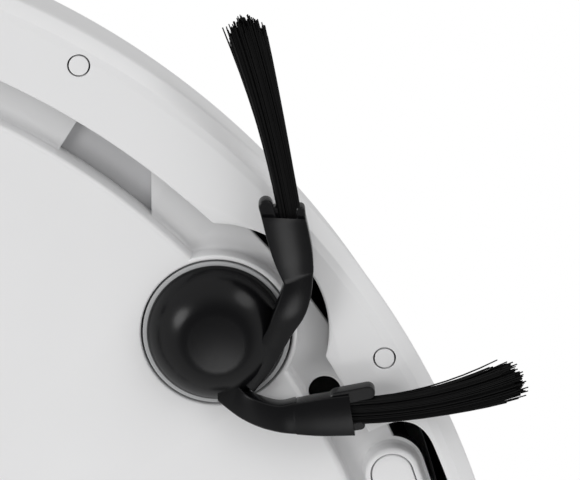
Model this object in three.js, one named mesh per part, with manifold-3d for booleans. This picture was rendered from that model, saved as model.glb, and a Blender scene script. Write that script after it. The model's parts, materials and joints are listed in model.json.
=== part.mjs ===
// Round robotic floor cleaner with a laser turret, a front bumper, one side brush at the front right,
// a main brush roller and a dustbin that pulls out at the rear.
// Millimetres. +Z is up, +Y is the front, +X is the robot's right-hand side.
// The origin lies on the floor under the middle of the body.
import * as THREE from 'three';
import Module from 'manifold-3d';
import { mergeVertices } from 'three/addons/utils/BufferGeometryUtils.js';
import { ConvexGeometry } from 'three/addons/geometries/ConvexGeometry.js';

const wasm = await Module();
wasm.setup();

// ---- driving dimensions ----

const BODY_RADIUS = 175;
const BODY_TOP = 82;
const CLEARANCE = 12; // floor to the underside plate
const WALL = 2.5;
const GAP = 0.3; // between neighbouring fixed pieces
const RUNNING_GAP = 0.3; // round a turning or sliding piece
const SEAM = 0.4; // between the bumper, the rear shell and the top cover
const FLUSH = 0.1; // how far a piece set into the underside stays above it
const FACETS = 60; // sides of the large round shells

// outer wall
const WALL_LEAN = 0.16; // mm inwards per mm of height
const FOOT_RISE = 3; // height of the rounded foot of the wall
const FOOT_LIP = [1.6, 0.35]; // width and rise of the foot's first, flatter face
const FOOT_TURN = 0.6; // how far the foot's middle corner lies inside the body's side
const SHOULDER_DROP = 35; // below the top, where the wall starts to round over
const TOP_EDGE_INSET = 32;
const SPLIT_DROP = 20.3; // below the top, where the top cover meets the bumper and the rear shell

// underside
const FLANGE_FLAT_INSET = 4.4;
const FLANGE_WIDTH = 11.9;
const FLANGE_THICKNESS = 2.2;
const CHANNEL_OPENING = 8.2; // between the plate's edge and the bumper flange
const CHANNEL_DEPTH = 5;
const CHANNEL_UNDER_FLANGE = 3.8;
const PLATE_LIP = 1.2;
const TUB_HEIGHT = 32;
const REAR_FLANGE_GAP = 0.7; // between the plate's edge and the rear shell's flange

// bumper
const BUMPER_TRAVEL = 3;
const PLUG_RADIUS = 2.05;
const PLUG_INSET = 6;
const PLUG_ANGLES = [-60, -30, 30, 60];
const WINDOW_HALF_ANGLE = 24;
const WINDOW_HEIGHT = 12;
const WINDOW_DEPTH = 1.2;
const WINDOW_RISE = 22; // above the underside
const WINDOW_END_GAP = 0.2; // degrees

// oblong pads near the front rim
const PAD_INSET = 15.5;
const PAD_OUTER_ANGLE = 21.8;
const PAD_LENGTH = 19.5;
const PAD_RADIUS = 5.6;
const PAD_CAP_RADIUS = 4.2;
const PAD_CAP_HEIGHT = 1.4;
const PAD_CUT_ANGLES = [11, 25.6];
const PAD_CUT_INSET = 5.3;
const PAD_CUT_CORNER = 8.8;

// sensor pockets in the channel
const POCKET_START_ANGLE = 50.3;
const POCKET_END_ANGLE = 57.9;
const CLIFF_WINDOW_THICKNESS = 2;
const CLIFF_WINDOW_LAP = 1.5; // over the plate's wall
const CLIFF_WINDOW_REACH = 2.2; // degrees past each end of the pocket
const CHANNEL_HOLE_RADIUS = 3.4;
const CHANNEL_HOLE_ANGLE = 29.4;
const CHANNEL_HOLE_INSET = 8.5; // from the tub's outer face

// side brush
const HUB_ANGLE = 38.8;
const HUB_INSET = 6.8; // from the plate's edge
const HUB_HOLE_RADIUS = 15.5;
const COLLAR_WIDTH = 1.5;
const BEZEL_RADIUS = 15.1;
const BEZEL_RECESS = 0.5;
const DOME_RADIUS = 14.3;
const DOME_HEIGHT = 7;
const FLANGE_NOTCH_RADIUS = 23;
const RELIEF_RADIUS = 43.5;
const RELIEF_INSET = 53.6; // its middle from the body's side
const RELIEF_DEPTH = 1;
const RELIEF_RAMP = 7;
const SIDE_SHAFT_RADIUS = 4.5;
const SIDE_SHAFT_RISE = 8.8; // above the channel's floor
const ARM_THICKNESS = 4.5;
const ARM_DROP = 8; // the arms' lowest face below the plate

// gears
const TOOTH = 1; // gear module
const GEAR_WIDTH = 4;
const SIDE_GEAR_TEETH = 24;
const SIDE_PINION_TEETH = 10;
const BRUSH_GEAR_TEETH = 16;
const IDLER_TEETH = 30;
const BRUSH_PINION_TEETH = 10;
const IDLER_DIRECTION = 65; // degrees above the forward direction, seen from the right
const PINION_DIRECTION = 20;
const GEAR_BORE = 4.8;
const GEARBOX_WALL = 1.6;
const MOTOR_RADIUS = 10;
const GEAR_END_GAP = 1.5; // between a gear's end and the wall beside it
const SIDE_MOTOR_LENGTH = 24;
const BRUSH_MOTOR_LENGTH = 36;

// drive wheels
const WHEEL_RADIUS = 35;
const WHEEL_WIDTH = 18;
const WHEEL_INSET = 55; // tyre's middle plane from the body's side
const WHEEL_Y = -10;
const RIM_RADIUS = 27;
const LUGS = 20;
const LUG_DEPTH = 1.8;
const AXLE_RADIUS = 4;
const ARM_WIDTH = 11.4;
const ARM_WHEEL_END = 20;
const ARM_PIVOT_END = 8;
const ARM_LENGTH = 32; // from the axle forward to the suspension pivot
const PIVOT_RISE = 14;
const PIVOT_PIN_RADIUS = 3;
const WHEEL_SPACE = 43; // half length of the wheel housing's inside
const ARM_FROM_WHEEL = 2;
const HOUSING_FROM_ARM = 2.6;
const HOUSING_FROM_WHEEL = 8;
const WHEEL_HEADROOM = 4;
const HOUSING_WALL = 2;

// caster
const CASTER_INSET = 29.5; // from the plate's edge
const CASTER_RADIUS = 12;
const CASTER_WIDTH = 14;
const CASTER_OFFSET = 4;
const CASTER_FORK_RADIUS = 21;
const CASTER_FORK_GAP = 1;
const CASTER_SOCKET_WALL = 3.7;
const CASTER_EAR_THICKNESS = 3.4;
const CASTER_EAR_HALF = 4.5;
const CASTER_SOCKET_HEIGHT = 20;
const CASTER_AXLE_RADIUS = 2;
const CASTER_STEM_RADIUS = 4;

// main brush
const BRUSH_RADIUS = 23.5;
const BRUSH_CORE_RADIUS = 9;
const BRUSH_Y = -42;
const BRUSH_Z = 24;
const BRUSH_HALF_LENGTH = 79;
const BRUSH_VANES = 6;
const VANE_THICKNESS = 2.6;
const BRUSH_TWIST = 70; // degrees from the middle to each end
const BRUSH_CLEARANCE = 1.3;
const BRUSH_END_CLEARANCE = 2;
const CHAMBER_WALL = 2;
const DUST_MOUTH_HALF = 56;
const DUST_MOUTH_RISE = [3, 20]; // lower and upper edge above the brush's axis
const GUARD_MARGIN = 5.4;
const GUARD_THICKNESS = 2.4;
const GUARD_WINDOW_MARGIN = [2.5, 0.6]; // beyond the roller's ends and its sides
const LATCH_INSET = 3.2; // from the guard's front edge
const LATCH_HALF_DEPTH = 2.2;
const LATCH_WIDTH = 16;
const LATCH_TRAVEL = 2;

// dustbin
const BIN_HALF_WIDTH = 78;
const BIN_WALL = 2;
const BIN_FLOOR_RISE = 7.8; // above the underside
const BIN_TOP_GAP = 0.5;
const BIN_FRONT_GAP = 1.2;
const BIN_SIDE_ROOM = 4;
const FILTER_THICKNESS = 6;
const FILTER_LENGTH = 30;
const FILTER_HEIGHT = 24;
const FILTER_PLEATS = 7;
const RELEASE_HALF_WIDTH = 11;
const RELEASE_HEIGHT = 9;
const RELEASE_DROP = 15; // its middle below the bin's top
const RELEASE_THICKNESS = 6;

// suction fan, its axis along X
const FAN_RADIUS = 22;
const FAN_LENGTH = 28;
const FAN_Y = -88;
const FAN_Z = 43;
const FAN_FROM_BIN = 6;
const FAN_BLADES = 8;
const FAN_INLET_RADIUS = 9;
const FAN_MOTOR_RADIUS = 12;
const GRILLE_ANGLES = [-137, -124];
const GRILLE_SLOTS = 6;
const GRILLE_SLOT_HEIGHT = 2.6;
const GRILLE_PITCH = 5.2;

// turret
const TURRET_Y = -25;
const TURRET_RADIUS = 46;
const TURRET_HEIGHT = 15;
const TURRET_RING_HEIGHT = 4.2;
const TURRET_WINDOW = 5;
const TURRET_RING_WIDTH = 8;
const TURRET_PILLARS = 5;
const TURRET_PILLAR_RADIUS = 2.2;
const ROTOR_RADIUS = 33;
const OPTICS_DEPTH = 8; // the flat front of the rotor, behind its round
const ROTOR_HOLE_MARGIN = 4;
const LIDAR_BASE_MARGIN = 8; // beyond the rotor
const LIDAR_BASE_THICKNESS = 4;
const LIDAR_MOTOR_LENGTH = 26;
const ROTOR_BORE_DEPTH = 10;

// buttons
const BUTTON_RADIUS = 9;
const BUTTON_SPACING = 32;
const BUTTON_INSET = 75; // from the front of the body
const BUTTON_PROUD = 0.6;
const BUTTON_RIM = 1.5; // width and thickness of the rim under the cover
const BUTTON_STEM = [3, 3.5]; // radius, and reach below the rim's top

// battery, board, contacts
const BATTERY_HALF_WIDTH = 45;
const BATTERY_LENGTH = 66;
const BATTERY_HEIGHT = 24;
const COVER_MARGIN = 5;
const BATTERY_FROM_CASTER = 29; // behind the caster's fork
const BOARD_SIZE = [120, 66, 1.6];
const BOARD_Z = 58;
const CONTACT_SIZE = [22, 9, 2];
const CONTACT_X = 34;
const CONTACT_INSET = 14;
const CONTACT_PROUD = 0.2;
const FRONT_WINDOW_SIZE = [20, 8, 2];
const FRONT_WINDOW_X = 36;
const FRONT_WINDOW_RECESS = 0.2;
const POST_RADIUS = 4;
const FRONT_POST_X = 54;
const REAR_POST_Y = -62;
const SWITCH_ANGLE = 67;
const SWITCH_INSET = 8;
const SWITCH_SIZE = [9, 8, 12];

// ---- derived places ----

const SHOULDER_Z = BODY_TOP - SHOULDER_DROP;
const SHOULDER_RADIUS = BODY_RADIUS - WALL_LEAN * (SHOULDER_Z - CLEARANCE - FOOT_RISE);
const SPLIT_Z = BODY_TOP - SPLIT_DROP;
const FLANGE_FLAT_RADIUS = BODY_RADIUS - FLANGE_FLAT_INSET;
const FLANGE_INNER_RADIUS = FLANGE_FLAT_RADIUS - FLANGE_WIDTH;
const PLATE_RADIUS = FLANGE_INNER_RADIUS - CHANNEL_OPENING;
const CHANNEL_Z = CLEARANCE + CHANNEL_DEPTH;
const TUB_RADIUS = FLANGE_INNER_RADIUS + CHANNEL_UNDER_FLANGE;
const TUB_TOP = CLEARANCE + TUB_HEIGHT;
const PLATE_TOP = CLEARANCE + WALL;
const COVER_INSIDE = BODY_TOP - WALL;
const HUB = polar(PLATE_RADIUS - HUB_INSET, HUB_ANGLE);
const SIDE_PINION = stepFrom(HUB, centreDistance(SIDE_GEAR_TEETH, SIDE_PINION_TEETH), angleToMiddle(HUB));
const WHEEL_X = BODY_RADIUS - WHEEL_INSET;
const WHEEL_INNER_X = WHEEL_X - WHEEL_WIDTH / 2;
const ARM_X = [WHEEL_INNER_X - ARM_FROM_WHEEL - ARM_WIDTH, WHEEL_INNER_X - ARM_FROM_WHEEL];
const HOUSING_X = [ARM_X[0] - HOUSING_FROM_ARM, WHEEL_X + WHEEL_WIDTH / 2 + HOUSING_FROM_WHEEL];
const CASTER_Y = PLATE_RADIUS - CASTER_INSET;
const CHAMBER_INNER = BRUSH_RADIUS + BRUSH_CLEARANCE;
const CHAMBER_OUTER = CHAMBER_INNER + CHAMBER_WALL;
const CHAMBER_HALF = BRUSH_HALF_LENGTH + CHAMBER_WALL + BRUSH_END_CLEARANCE;
const BRUSH_GEAR_X = -CHAMBER_HALF - GEAR_END_GAP - GEAR_WIDTH;
const IDLER_DISTANCE = centreDistance(BRUSH_GEAR_TEETH, IDLER_TEETH);
const IDLER = stepFrom([BRUSH_Y, BRUSH_Z], IDLER_DISTANCE, radians(IDLER_DIRECTION));
const PINION_DISTANCE = centreDistance(IDLER_TEETH, BRUSH_PINION_TEETH);
const BRUSH_PINION = stepFrom(IDLER, PINION_DISTANCE, radians(PINION_DIRECTION));
const GUARD_HALF_X = CHAMBER_HALF + GUARD_MARGIN;
const GUARD_HALF_Y = CHAMBER_OUTER + GUARD_MARGIN / 2;
const BIN_FRONT = BRUSH_Y - CHAMBER_OUTER - BIN_FRONT_GAP;
const BIN_Z = [CLEARANCE + BIN_FLOOR_RISE, SPLIT_Z - BIN_TOP_GAP];
const FAN_X = -(BIN_HALF_WIDTH + FAN_FROM_BIN);
const CASTER_BORE = CASTER_FORK_RADIUS + CASTER_FORK_GAP;
const BATTERY_FRONT = CASTER_Y - CASTER_FORK_RADIUS - BATTERY_FROM_CASTER;
const BUTTON_Y = BODY_RADIUS - BUTTON_INSET;
const POSTS = [
  [-FRONT_POST_X, CASTER_Y],
  [FRONT_POST_X, CASTER_Y],
  [-WHEEL_X, REAR_POST_Y],
  [WHEEL_X, REAR_POST_Y],
];

// ---- materials ----

function paint(color, roughness, metalness = 0) {
  return new THREE.MeshStandardMaterial({ color, roughness, metalness });
}

const WHITE = paint(0xe6e6e7, 0.4);
const LIGHT_GREY = paint(0xb4b6b8, 0.45);
const GREY = paint(0x8a8c8e, 0.5);
const BLACK_GLOSS = paint(0x0c0c0d, 0.3);
const BLACK = paint(0x161617, 0.55);
const RUBBER = paint(0x1d1d1e, 0.85);
const SMOKED = paint(0x2a2a2c, 0.15);
const METAL = paint(0xb9bcbf, 0.3, 1);
const GREEN = paint(0x1f5a35, 0.6);
const BLUE = paint(0x2c4f86, 0.5);
const CLEAR_GREY = paint(0x6f7376, 0.2);
const BRISTLE = paint(0x0a0a0a, 0.7);

// ---- helpers ----

function radians(degrees) {
  return (degrees * Math.PI) / 180;
}

// A point at an angle from the front (+Y) towards the right (+X).
function polar(radius, degrees) {
  return [radius * Math.sin(radians(degrees)), radius * Math.cos(radians(degrees))];
}

function stepFrom([x, y], distance, angle) {
  return [x + distance * Math.cos(angle), y + distance * Math.sin(angle)];
}

function angleToMiddle([x, y]) {
  return Math.atan2(-y, -x);
}

function centreDistance(teeth, otherTeeth) {
  return (TOOTH * (teeth + otherTeeth)) / 2;
}

// Both ends of a span, or of its mirror image, in rising order.
function mirrored(span, side) {
  return span.map((x) => side * x).sort((a, b) => a - b);
}

// A closed mesh with merged corners and its faces pointing out, as a solid.
function solid(shape) {
  if (shape instanceof wasm.Manifold) return shape;
  const bare = shape.clone();
  bare.deleteAttribute('normal');
  bare.deleteAttribute('uv');
  const merged = mergeVertices(bare, 1e-4);
  const place = merged.attributes.position.array;
  const index = merged.index.array;
  const corner = (i) => new THREE.Vector3(place[3 * i], place[3 * i + 1], place[3 * i + 2]);
  const kept = [];
  let volume = 0;
  for (let i = 0; i < index.length; i += 3) {
    const [a, b, c] = [index[i], index[i + 1], index[i + 2]];
    if (a === b || b === c || c === a) continue;
    kept.push([a, b, c]);
    volume += corner(a).dot(corner(b).cross(corner(c)));
  }
  const triVerts = new Uint32Array(kept.flatMap(([a, b, c]) => (volume > 0 ? [a, b, c] : [a, c, b])));
  return new wasm.Manifold(new wasm.Mesh({ numProp: 3, vertProperties: new Float32Array(place), triVerts }));
}

const join = (...shapes) => shapes.map(solid).reduce((whole, shape) => whole.add(shape));
const cut = (shape, ...tools) => tools.map(solid).reduce((whole, tool) => whole.subtract(tool), solid(shape));
const meet = (shape, other) => solid(shape).intersect(solid(other));

function part(parent, name, shape, material, place = [0, 0, 0]) {
  const mesh = solid(shape).getMesh();
  const geometry = new THREE.BufferGeometry();
  geometry.setAttribute('position', new THREE.BufferAttribute(new Float32Array(mesh.vertProperties), 3));
  geometry.setIndex(new THREE.BufferAttribute(new Uint32Array(mesh.triVerts), 1));
  geometry.computeVertexNormals();
  const piece = new THREE.Mesh(geometry, material);
  piece.name = name;
  piece.position.set(...place);
  parent.add(piece);
}

// A closed profile of [radius, height] points turned about Z.
function turned(profile, sides = FACETS) {
  const points = profile.map(([r, z]) => new THREE.Vector2(r, z));
  const endsOnAxis = profile[0][0] === 0 && profile.at(-1)[0] === 0;
  if (!endsOnAxis) points.push(points[0].clone());
  return new THREE.LatheGeometry(points, sides).rotateX(Math.PI / 2);
}

function block([x0, x1], [y0, y1], [z0, z1]) {
  const box = new THREE.BoxGeometry(x1 - x0, y1 - y0, z1 - z0);
  return box.translate((x0 + x1) / 2, (y0 + y1) / 2, (z0 + z1) / 2);
}

// An upright cylinder.
function rod(radius, [z0, z1], [x, y] = [0, 0], sides = 24) {
  const geometry = new THREE.CylinderGeometry(radius, radius, z1 - z0, sides);
  return geometry.rotateX(Math.PI / 2).translate(x, y, (z0 + z1) / 2);
}

// Moves what was built upright to lie along X: its X goes to Y, its Y to Z, its Z to X.
function alongX(geometry) {
  const axes = [new THREE.Vector3(0, 1, 0), new THREE.Vector3(0, 0, 1), new THREE.Vector3(1, 0, 0)];
  return geometry.applyMatrix4(new THREE.Matrix4().makeBasis(...axes));
}

// An upright slab of an outline.
function slab(outline, [z0, z1], curveSegments = 6, steps = 1) {
  const options = { depth: z1 - z0, bevelEnabled: false, curveSegments, steps };
  return new THREE.ExtrudeGeometry(outline, options).translate(0, 0, z0);
}

function polygon(points) {
  return new THREE.Shape(points.map(([x, y]) => new THREE.Vector2(x, y)));
}

// The outline of two circles and the straight tangents between them.
function link([ax, ay], ra, [bx, by], rb) {
  const turn = Math.atan2(by - ay, bx - ax);
  const spread = Math.acos((ra - rb) / Math.hypot(bx - ax, by - ay));
  const shape = new THREE.Shape();
  shape.absarc(ax, ay, ra, turn + spread, turn - spread + 2 * Math.PI, false);
  shape.absarc(bx, by, rb, turn - spread, turn + spread, false);
  shape.closePath();
  return shape;
}

function roundedBox(halfX, halfY, corner, [x, y] = [0, 0]) {
  const shape = new THREE.Shape();
  shape.absarc(x + halfX - corner, y + halfY - corner, corner, 0, Math.PI / 2);
  shape.absarc(x - halfX + corner, y + halfY - corner, corner, Math.PI / 2, Math.PI);
  shape.absarc(x - halfX + corner, y - halfY + corner, corner, Math.PI, 1.5 * Math.PI);
  shape.absarc(x + halfX - corner, y - halfY + corner, corner, 1.5 * Math.PI, 2 * Math.PI);
  shape.closePath();
  return shape;
}

// A spur gear's outline with sloping teeth and a round bore. A tooth is centred on the phase angle.
function gearOutline(teeth, phase, bore) {
  const pitchRadius = (teeth * TOOTH) / 2;
  const tip = pitchRadius + 0.8 * TOOTH;
  const root = pitchRadius - 1.1 * TOOTH;
  const step = (2 * Math.PI) / teeth;
  const points = [];
  for (let i = 0; i < teeth; i++) {
    const middle = phase + i * step;
    for (const [radius, share] of [[root, -0.29], [tip, -0.13], [tip, 0.13], [root, 0.29]]) {
      points.push(stepFrom([0, 0], radius, middle + share * step));
    }
  }
  const shape = polygon(points);
  if (bore > 0) shape.holes.push(new THREE.Path().absarc(0, 0, bore, 0, 2 * Math.PI));
  return shape;
}

// The phase of a gear that lies in a direction from a neighbour, so that their teeth mesh.
function meshedPhase(neighbourTeeth, neighbourPhase, direction, teeth) {
  const neighbourShare = ((direction - neighbourPhase) * neighbourTeeth) / (2 * Math.PI);
  return direction + Math.PI - ((0.5 - neighbourShare) * 2 * Math.PI) / teeth;
}

// A point of the rounded shoulder between the side wall and the top, moved inwards by an inset.
const shoulder = new THREE.QuadraticBezierCurve(
  new THREE.Vector2(SHOULDER_RADIUS, SHOULDER_Z),
  new THREE.Vector2(SHOULDER_RADIUS - WALL_LEAN * SHOULDER_DROP, BODY_TOP),
  new THREE.Vector2(BODY_RADIUS - TOP_EDGE_INSET, BODY_TOP),
);

function shoulderPoint(z, inset = 0) {
  const t = 1 - Math.sqrt((BODY_TOP - z) / SHOULDER_DROP);
  const point = shoulder.getPoint(t);
  const tangent = shoulder.getTangent(t);
  return [point.x - inset * tangent.y, point.y + inset * tangent.x];
}

// The outer wall's foot, side and part of the shoulder, moved inwards by an inset.
function wallLine(topZ, inset) {
  const foot = [
    [FLANGE_FLAT_RADIUS, CLEARANCE],
    [FLANGE_FLAT_RADIUS + FOOT_LIP[0], CLEARANCE + FOOT_LIP[1]],
    [BODY_RADIUS - FOOT_TURN, CLEARANCE + 0.5 * FOOT_RISE],
    [BODY_RADIUS, CLEARANCE + FOOT_RISE],
  ];
  const innerFoot = [
    [BODY_RADIUS - inset - 1, CLEARANCE + FLANGE_THICKNESS],
    [BODY_RADIUS - inset, CLEARANCE + FOOT_RISE + FOOT_TURN],
  ];
  const middleZ = (SHOULDER_Z + topZ) / 2;
  const rounding = [middleZ, topZ].map((z) => shoulderPoint(z, inset));
  return [...(inset > 0 ? innerFoot : foot), [SHOULDER_RADIUS - inset, SHOULDER_Z], ...rounding];
}

// The wall and its bottom flange as one ring.
function wallRing(flangeInner) {
  const topZ = SPLIT_Z - SEAM / 2;
  const inside = wallLine(topZ, WALL).reverse();
  const flange = [[flangeInner, CLEARANCE + FLANGE_THICKNESS], [flangeInner, CLEARANCE]];
  return turned([...wallLine(topZ, 0), ...inside, ...flange]);
}

// A tall solid up to the outer wall, shrunk by an inset.
function wallCore(inset, topZ) {
  const side = wallLine(topZ, inset);
  return turned([[0, side[0][1]], ...side, [0, side.at(-1)[1]]]);
}

// A wedge between two angles from the front, wide enough to reach past the body.
function wedge(fromDegrees, toDegrees, heights) {
  const reach = 1.3 * BODY_RADIUS;
  return slab(polygon([[0, 0], polar(reach, fromDegrees), polar(reach, toDegrees)]), heights);
}

function padOutline(side, radius) {
  const span = (PAD_LENGTH / (BODY_RADIUS - PAD_INSET)) * (180 / Math.PI);
  const outer = polar(BODY_RADIUS - PAD_INSET, side * PAD_OUTER_ANGLE);
  const inner = polar(BODY_RADIUS - PAD_INSET, side * (PAD_OUTER_ANGLE - span));
  return link(outer, radius, inner, radius);
}

// ---- chassis ----

function pocketCut(side) {
  const endY = polar(PLATE_RADIUS + CHANNEL_OPENING / 2, POCKET_START_ANGLE)[1];
  const endX = endY * Math.tan(radians(POCKET_END_ANGLE));
  const outline = polygon([[0, 0], [side * endX, endY], [0, endY]]);
  const heights = [CHANNEL_Z - 1, CHANNEL_Z + WALL + 1];
  const [z0, z1] = heights;
  const inner = PLATE_RADIUS + 0.1;
  const outer = TUB_RADIUS - WALL - 0.1;
  return meet(turned([[inner, z0], [outer, z0], [outer, z1], [inner, z1]]), slab(outline, heights));
}

function chassis(parent) {
  const tub = turned([
    [0, CLEARANCE],
    [PLATE_RADIUS - PLATE_LIP, CLEARANCE],
    [PLATE_RADIUS - 0.3 * PLATE_LIP, CLEARANCE + 0.3 * PLATE_LIP],
    [PLATE_RADIUS, CLEARANCE + PLATE_LIP],
    [PLATE_RADIUS, CHANNEL_Z],
    [TUB_RADIUS, CHANNEL_Z],
    [TUB_RADIUS, TUB_TOP],
    [TUB_RADIUS - WALL, TUB_TOP],
    [TUB_RADIUS - WALL, CHANNEL_Z + WALL],
    [PLATE_RADIUS - WALL, CHANNEL_Z + WALL],
    [PLATE_RADIUS - WALL, PLATE_TOP],
    [0, PLATE_TOP],
  ]);
  const collar = rod(HUB_HOLE_RADIUS + COLLAR_WIDTH, [CLEARANCE, CHANNEL_Z + WALL], HUB, 36);
  const padZ = [CLEARANCE + FLUSH, CHANNEL_Z + WALL];
  const pads = [-1, 1].map((side) => slab(padOutline(side, PAD_RADIUS), padZ));
  const posts = POSTS.map((place) => rod(POST_RADIUS, [PLATE_TOP - 1, COVER_INSIDE - GAP], place, 10));
  const through = [CLEARANCE - 1, PLATE_TOP + 1];
  const wheelSpan = [HOUSING_X[0] + HOUSING_WALL, HOUSING_X[1] - HOUSING_WALL];
  const wheelCuts = [-1, 1].map((side) => block(
    mirrored(wheelSpan, side),
    [WHEEL_Y - WHEEL_SPACE, WHEEL_Y + WHEEL_SPACE],
    through,
  ));
  const guardCut = slab(roundedBox(GUARD_HALF_X + GAP, GUARD_HALF_Y + GAP, 4, [0, BRUSH_Y]), through, 2);
  const casterCut = rod(CASTER_BORE + CASTER_SOCKET_WALL + GAP, through, [0, CASTER_Y], 32);
  const coverCut = slab(batteryCoverOutline(GAP), through, 2);
  const binCutHalf = BIN_HALF_WIDTH + BIN_SIDE_ROOM;
  const binCut = block([-binCutHalf, binCutHalf], [-BODY_RADIUS, BIN_FRONT], [BIN_Z[0] - GAP, TUB_TOP + 1]);
  const channelThrough = [CHANNEL_Z - 1, CHANNEL_Z + WALL + 1];
  const channelHole = polar(TUB_RADIUS - CHANNEL_HOLE_INSET, CHANNEL_HOLE_ANGLE);
  const holes = [
    rod(HUB_HOLE_RADIUS, [CLEARANCE - 1, CHANNEL_Z + WALL + 1], HUB, 36),
    rod(CHANNEL_HOLE_RADIUS, channelThrough, channelHole, 16),
    ...[-1, 1].map((side) => pocketCut(side)),
    ...[-1, 1].map((side) => slab(padOutline(side, PAD_CAP_RADIUS + GAP), [CLEARANCE - 1, CLEARANCE + 2])),
    ...[-1, 1].flatMap((side) => [
      plateAt(side * CONTACT_X, contactY(), CONTACT_SIZE, GAP, through),
      plateAt(side * FRONT_WINDOW_X, frontWindowY(), FRONT_WINDOW_SIZE, GAP, through),
    ]),
  ];
  const shell = join(tub, collar, ...pads, ...posts);
  const opened = cut(shell, ...wheelCuts, guardCut, casterCut, coverCut, binCut, ...holes);
  part(parent, 'base_chassis', opened, WHITE);
  const capZ = [CLEARANCE + FLUSH, CLEARANCE + FLUSH + PAD_CAP_HEIGHT];
  for (const [side, label] of [[1, 'right'], [-1, 'left']]) {
    const cap = slab(padOutline(side, PAD_CAP_RADIUS), capZ);
    part(parent, `pad_cap_${label}`, cap, WHITE);
    part(parent, `cliff_window_${label}`, cliffWindow(side), GREY);
    const lensZ = [CLEARANCE + FRONT_WINDOW_RECESS, CLEARANCE + FRONT_WINDOW_RECESS + FRONT_WINDOW_SIZE[2]];
    const lens = plateAt(side * FRONT_WINDOW_X, frontWindowY(), FRONT_WINDOW_SIZE, 0, lensZ);
    part(parent, `front_cliff_window_${label}`, lens, SMOKED);
    const contactZ = [CLEARANCE - CONTACT_PROUD, CLEARANCE - CONTACT_PROUD + CONTACT_SIZE[2]];
    const contact = plateAt(side * CONTACT_X, contactY(), CONTACT_SIZE, 0, contactZ);
    part(parent, `charge_contact_${label}`, contact, METAL);
    part(parent, `bumper_switch_${label}`, bumperSwitch(side), BLACK);
  }
}

function contactY() {
  return -(PLATE_RADIUS - CONTACT_INSET);
}

function frontWindowY() {
  return PLATE_RADIUS - CONTACT_INSET;
}

function plateAt(x, y, [width, length], margin, heights) {
  return slab(roundedBox(width / 2 + margin, length / 2 + margin, 2, [x, y]), heights, 2);
}

// The sensor window, which lies over the pocket inside the body and laps its edges.
function cliffWindow(side) {
  const z0 = CHANNEL_Z + WALL + GAP;
  const z1 = z0 + CLIFF_WINDOW_THICKNESS;
  const inner = PLATE_RADIUS - CLIFF_WINDOW_LAP;
  const outer = TUB_RADIUS - WALL - GAP;
  const ring = turned([[inner, z0], [outer, z0], [outer, z1], [inner, z1]]);
  const start = side * (POCKET_START_ANGLE - CLIFF_WINDOW_REACH);
  const end = side * (POCKET_END_ANGLE + CLIFF_WINDOW_REACH);
  return meet(ring, wedge(start, end, [z0 - 1, z1 + 1]));
}

function bumperSwitch(side) {
  const [width, length, height] = SWITCH_SIZE;
  const [x, y] = polar(TUB_RADIUS - WALL - SWITCH_INSET, side * SWITCH_ANGLE);
  const z0 = CHANNEL_Z + WALL + GAP;
  const body = block([x - width / 2, x + width / 2], [y - length / 2, y + length / 2], [z0, z0 + height]);
  const lever = block([x - 1, x + 1], [y + length / 2 - 1, y + length / 2 + 2], [z0 + 4, z0 + 8]);
  return join(body, lever);
}

// ---- shells ----

function bumper(parent) {
  const frontHalf = block([-BODY_RADIUS - 5, BODY_RADIUS + 5], [0, BODY_RADIUS + 5], [0, BODY_TOP]);
  const depths = [CLEARANCE - 1, CLEARANCE + FLANGE_THICKNESS + 0.2];
  const notch = rod(FLANGE_NOTCH_RADIUS, depths, HUB, 48);
  const reliefPlace = polar(BODY_RADIUS - RELIEF_INSET, HUB_ANGLE);
  const relief = turned([
    [0, CLEARANCE - 1],
    [RELIEF_RADIUS + 1, CLEARANCE - 1],
    [RELIEF_RADIUS, CLEARANCE],
    [RELIEF_RADIUS - RELIEF_RAMP, CLEARANCE + RELIEF_DEPTH],
    [0, CLEARANCE + RELIEF_DEPTH],
  ]).translate(...reliefPlace, 0);
  const plugPlaces = PLUG_ANGLES.map((angle) => polar(BODY_RADIUS - PLUG_INSET, angle));
  const plugHoles = plugPlaces.map((place) => rod(PLUG_RADIUS + GAP, depths, place, 12));
  const windowZ = [CLEARANCE + WINDOW_RISE, CLEARANCE + WINDOW_RISE + WINDOW_HEIGHT];
  const recessZ = [windowZ[0] - GAP, windowZ[1] + GAP];
  const recessAngle = WINDOW_HALF_ANGLE + WINDOW_END_GAP;
  const behindRecess = wallCore(WINDOW_DEPTH + GAP, SHOULDER_Z + 1);
  const windowBand = cut(wedge(-recessAngle, recessAngle, recessZ), behindRecess);
  const shell = cut(
    meet(wallRing(FLANGE_INNER_RADIUS), frontHalf),
    notch, relief, ...plugHoles, windowBand, padCut(1, depths), padCut(-1, depths),
  );
  part(parent, 'bumper_shell', shell, WHITE);
  const strip = meet(wallCore(0, SHOULDER_Z + 1), wedge(-WINDOW_HALF_ANGLE, WINDOW_HALF_ANGLE, windowZ));
  part(parent, 'bumper_window', cut(strip, wallCore(WINDOW_DEPTH, SHOULDER_Z + 1)), SMOKED);
  PLUG_ANGLES.forEach((angle, i) => {
    const plug = rod(PLUG_RADIUS, [0, FLANGE_THICKNESS], [0, 0], 12);
    part(parent, `bumper_plug_${i + 1}`, plug, WHITE, [...plugPlaces[i], CLEARANCE]);
  });
}

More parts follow.
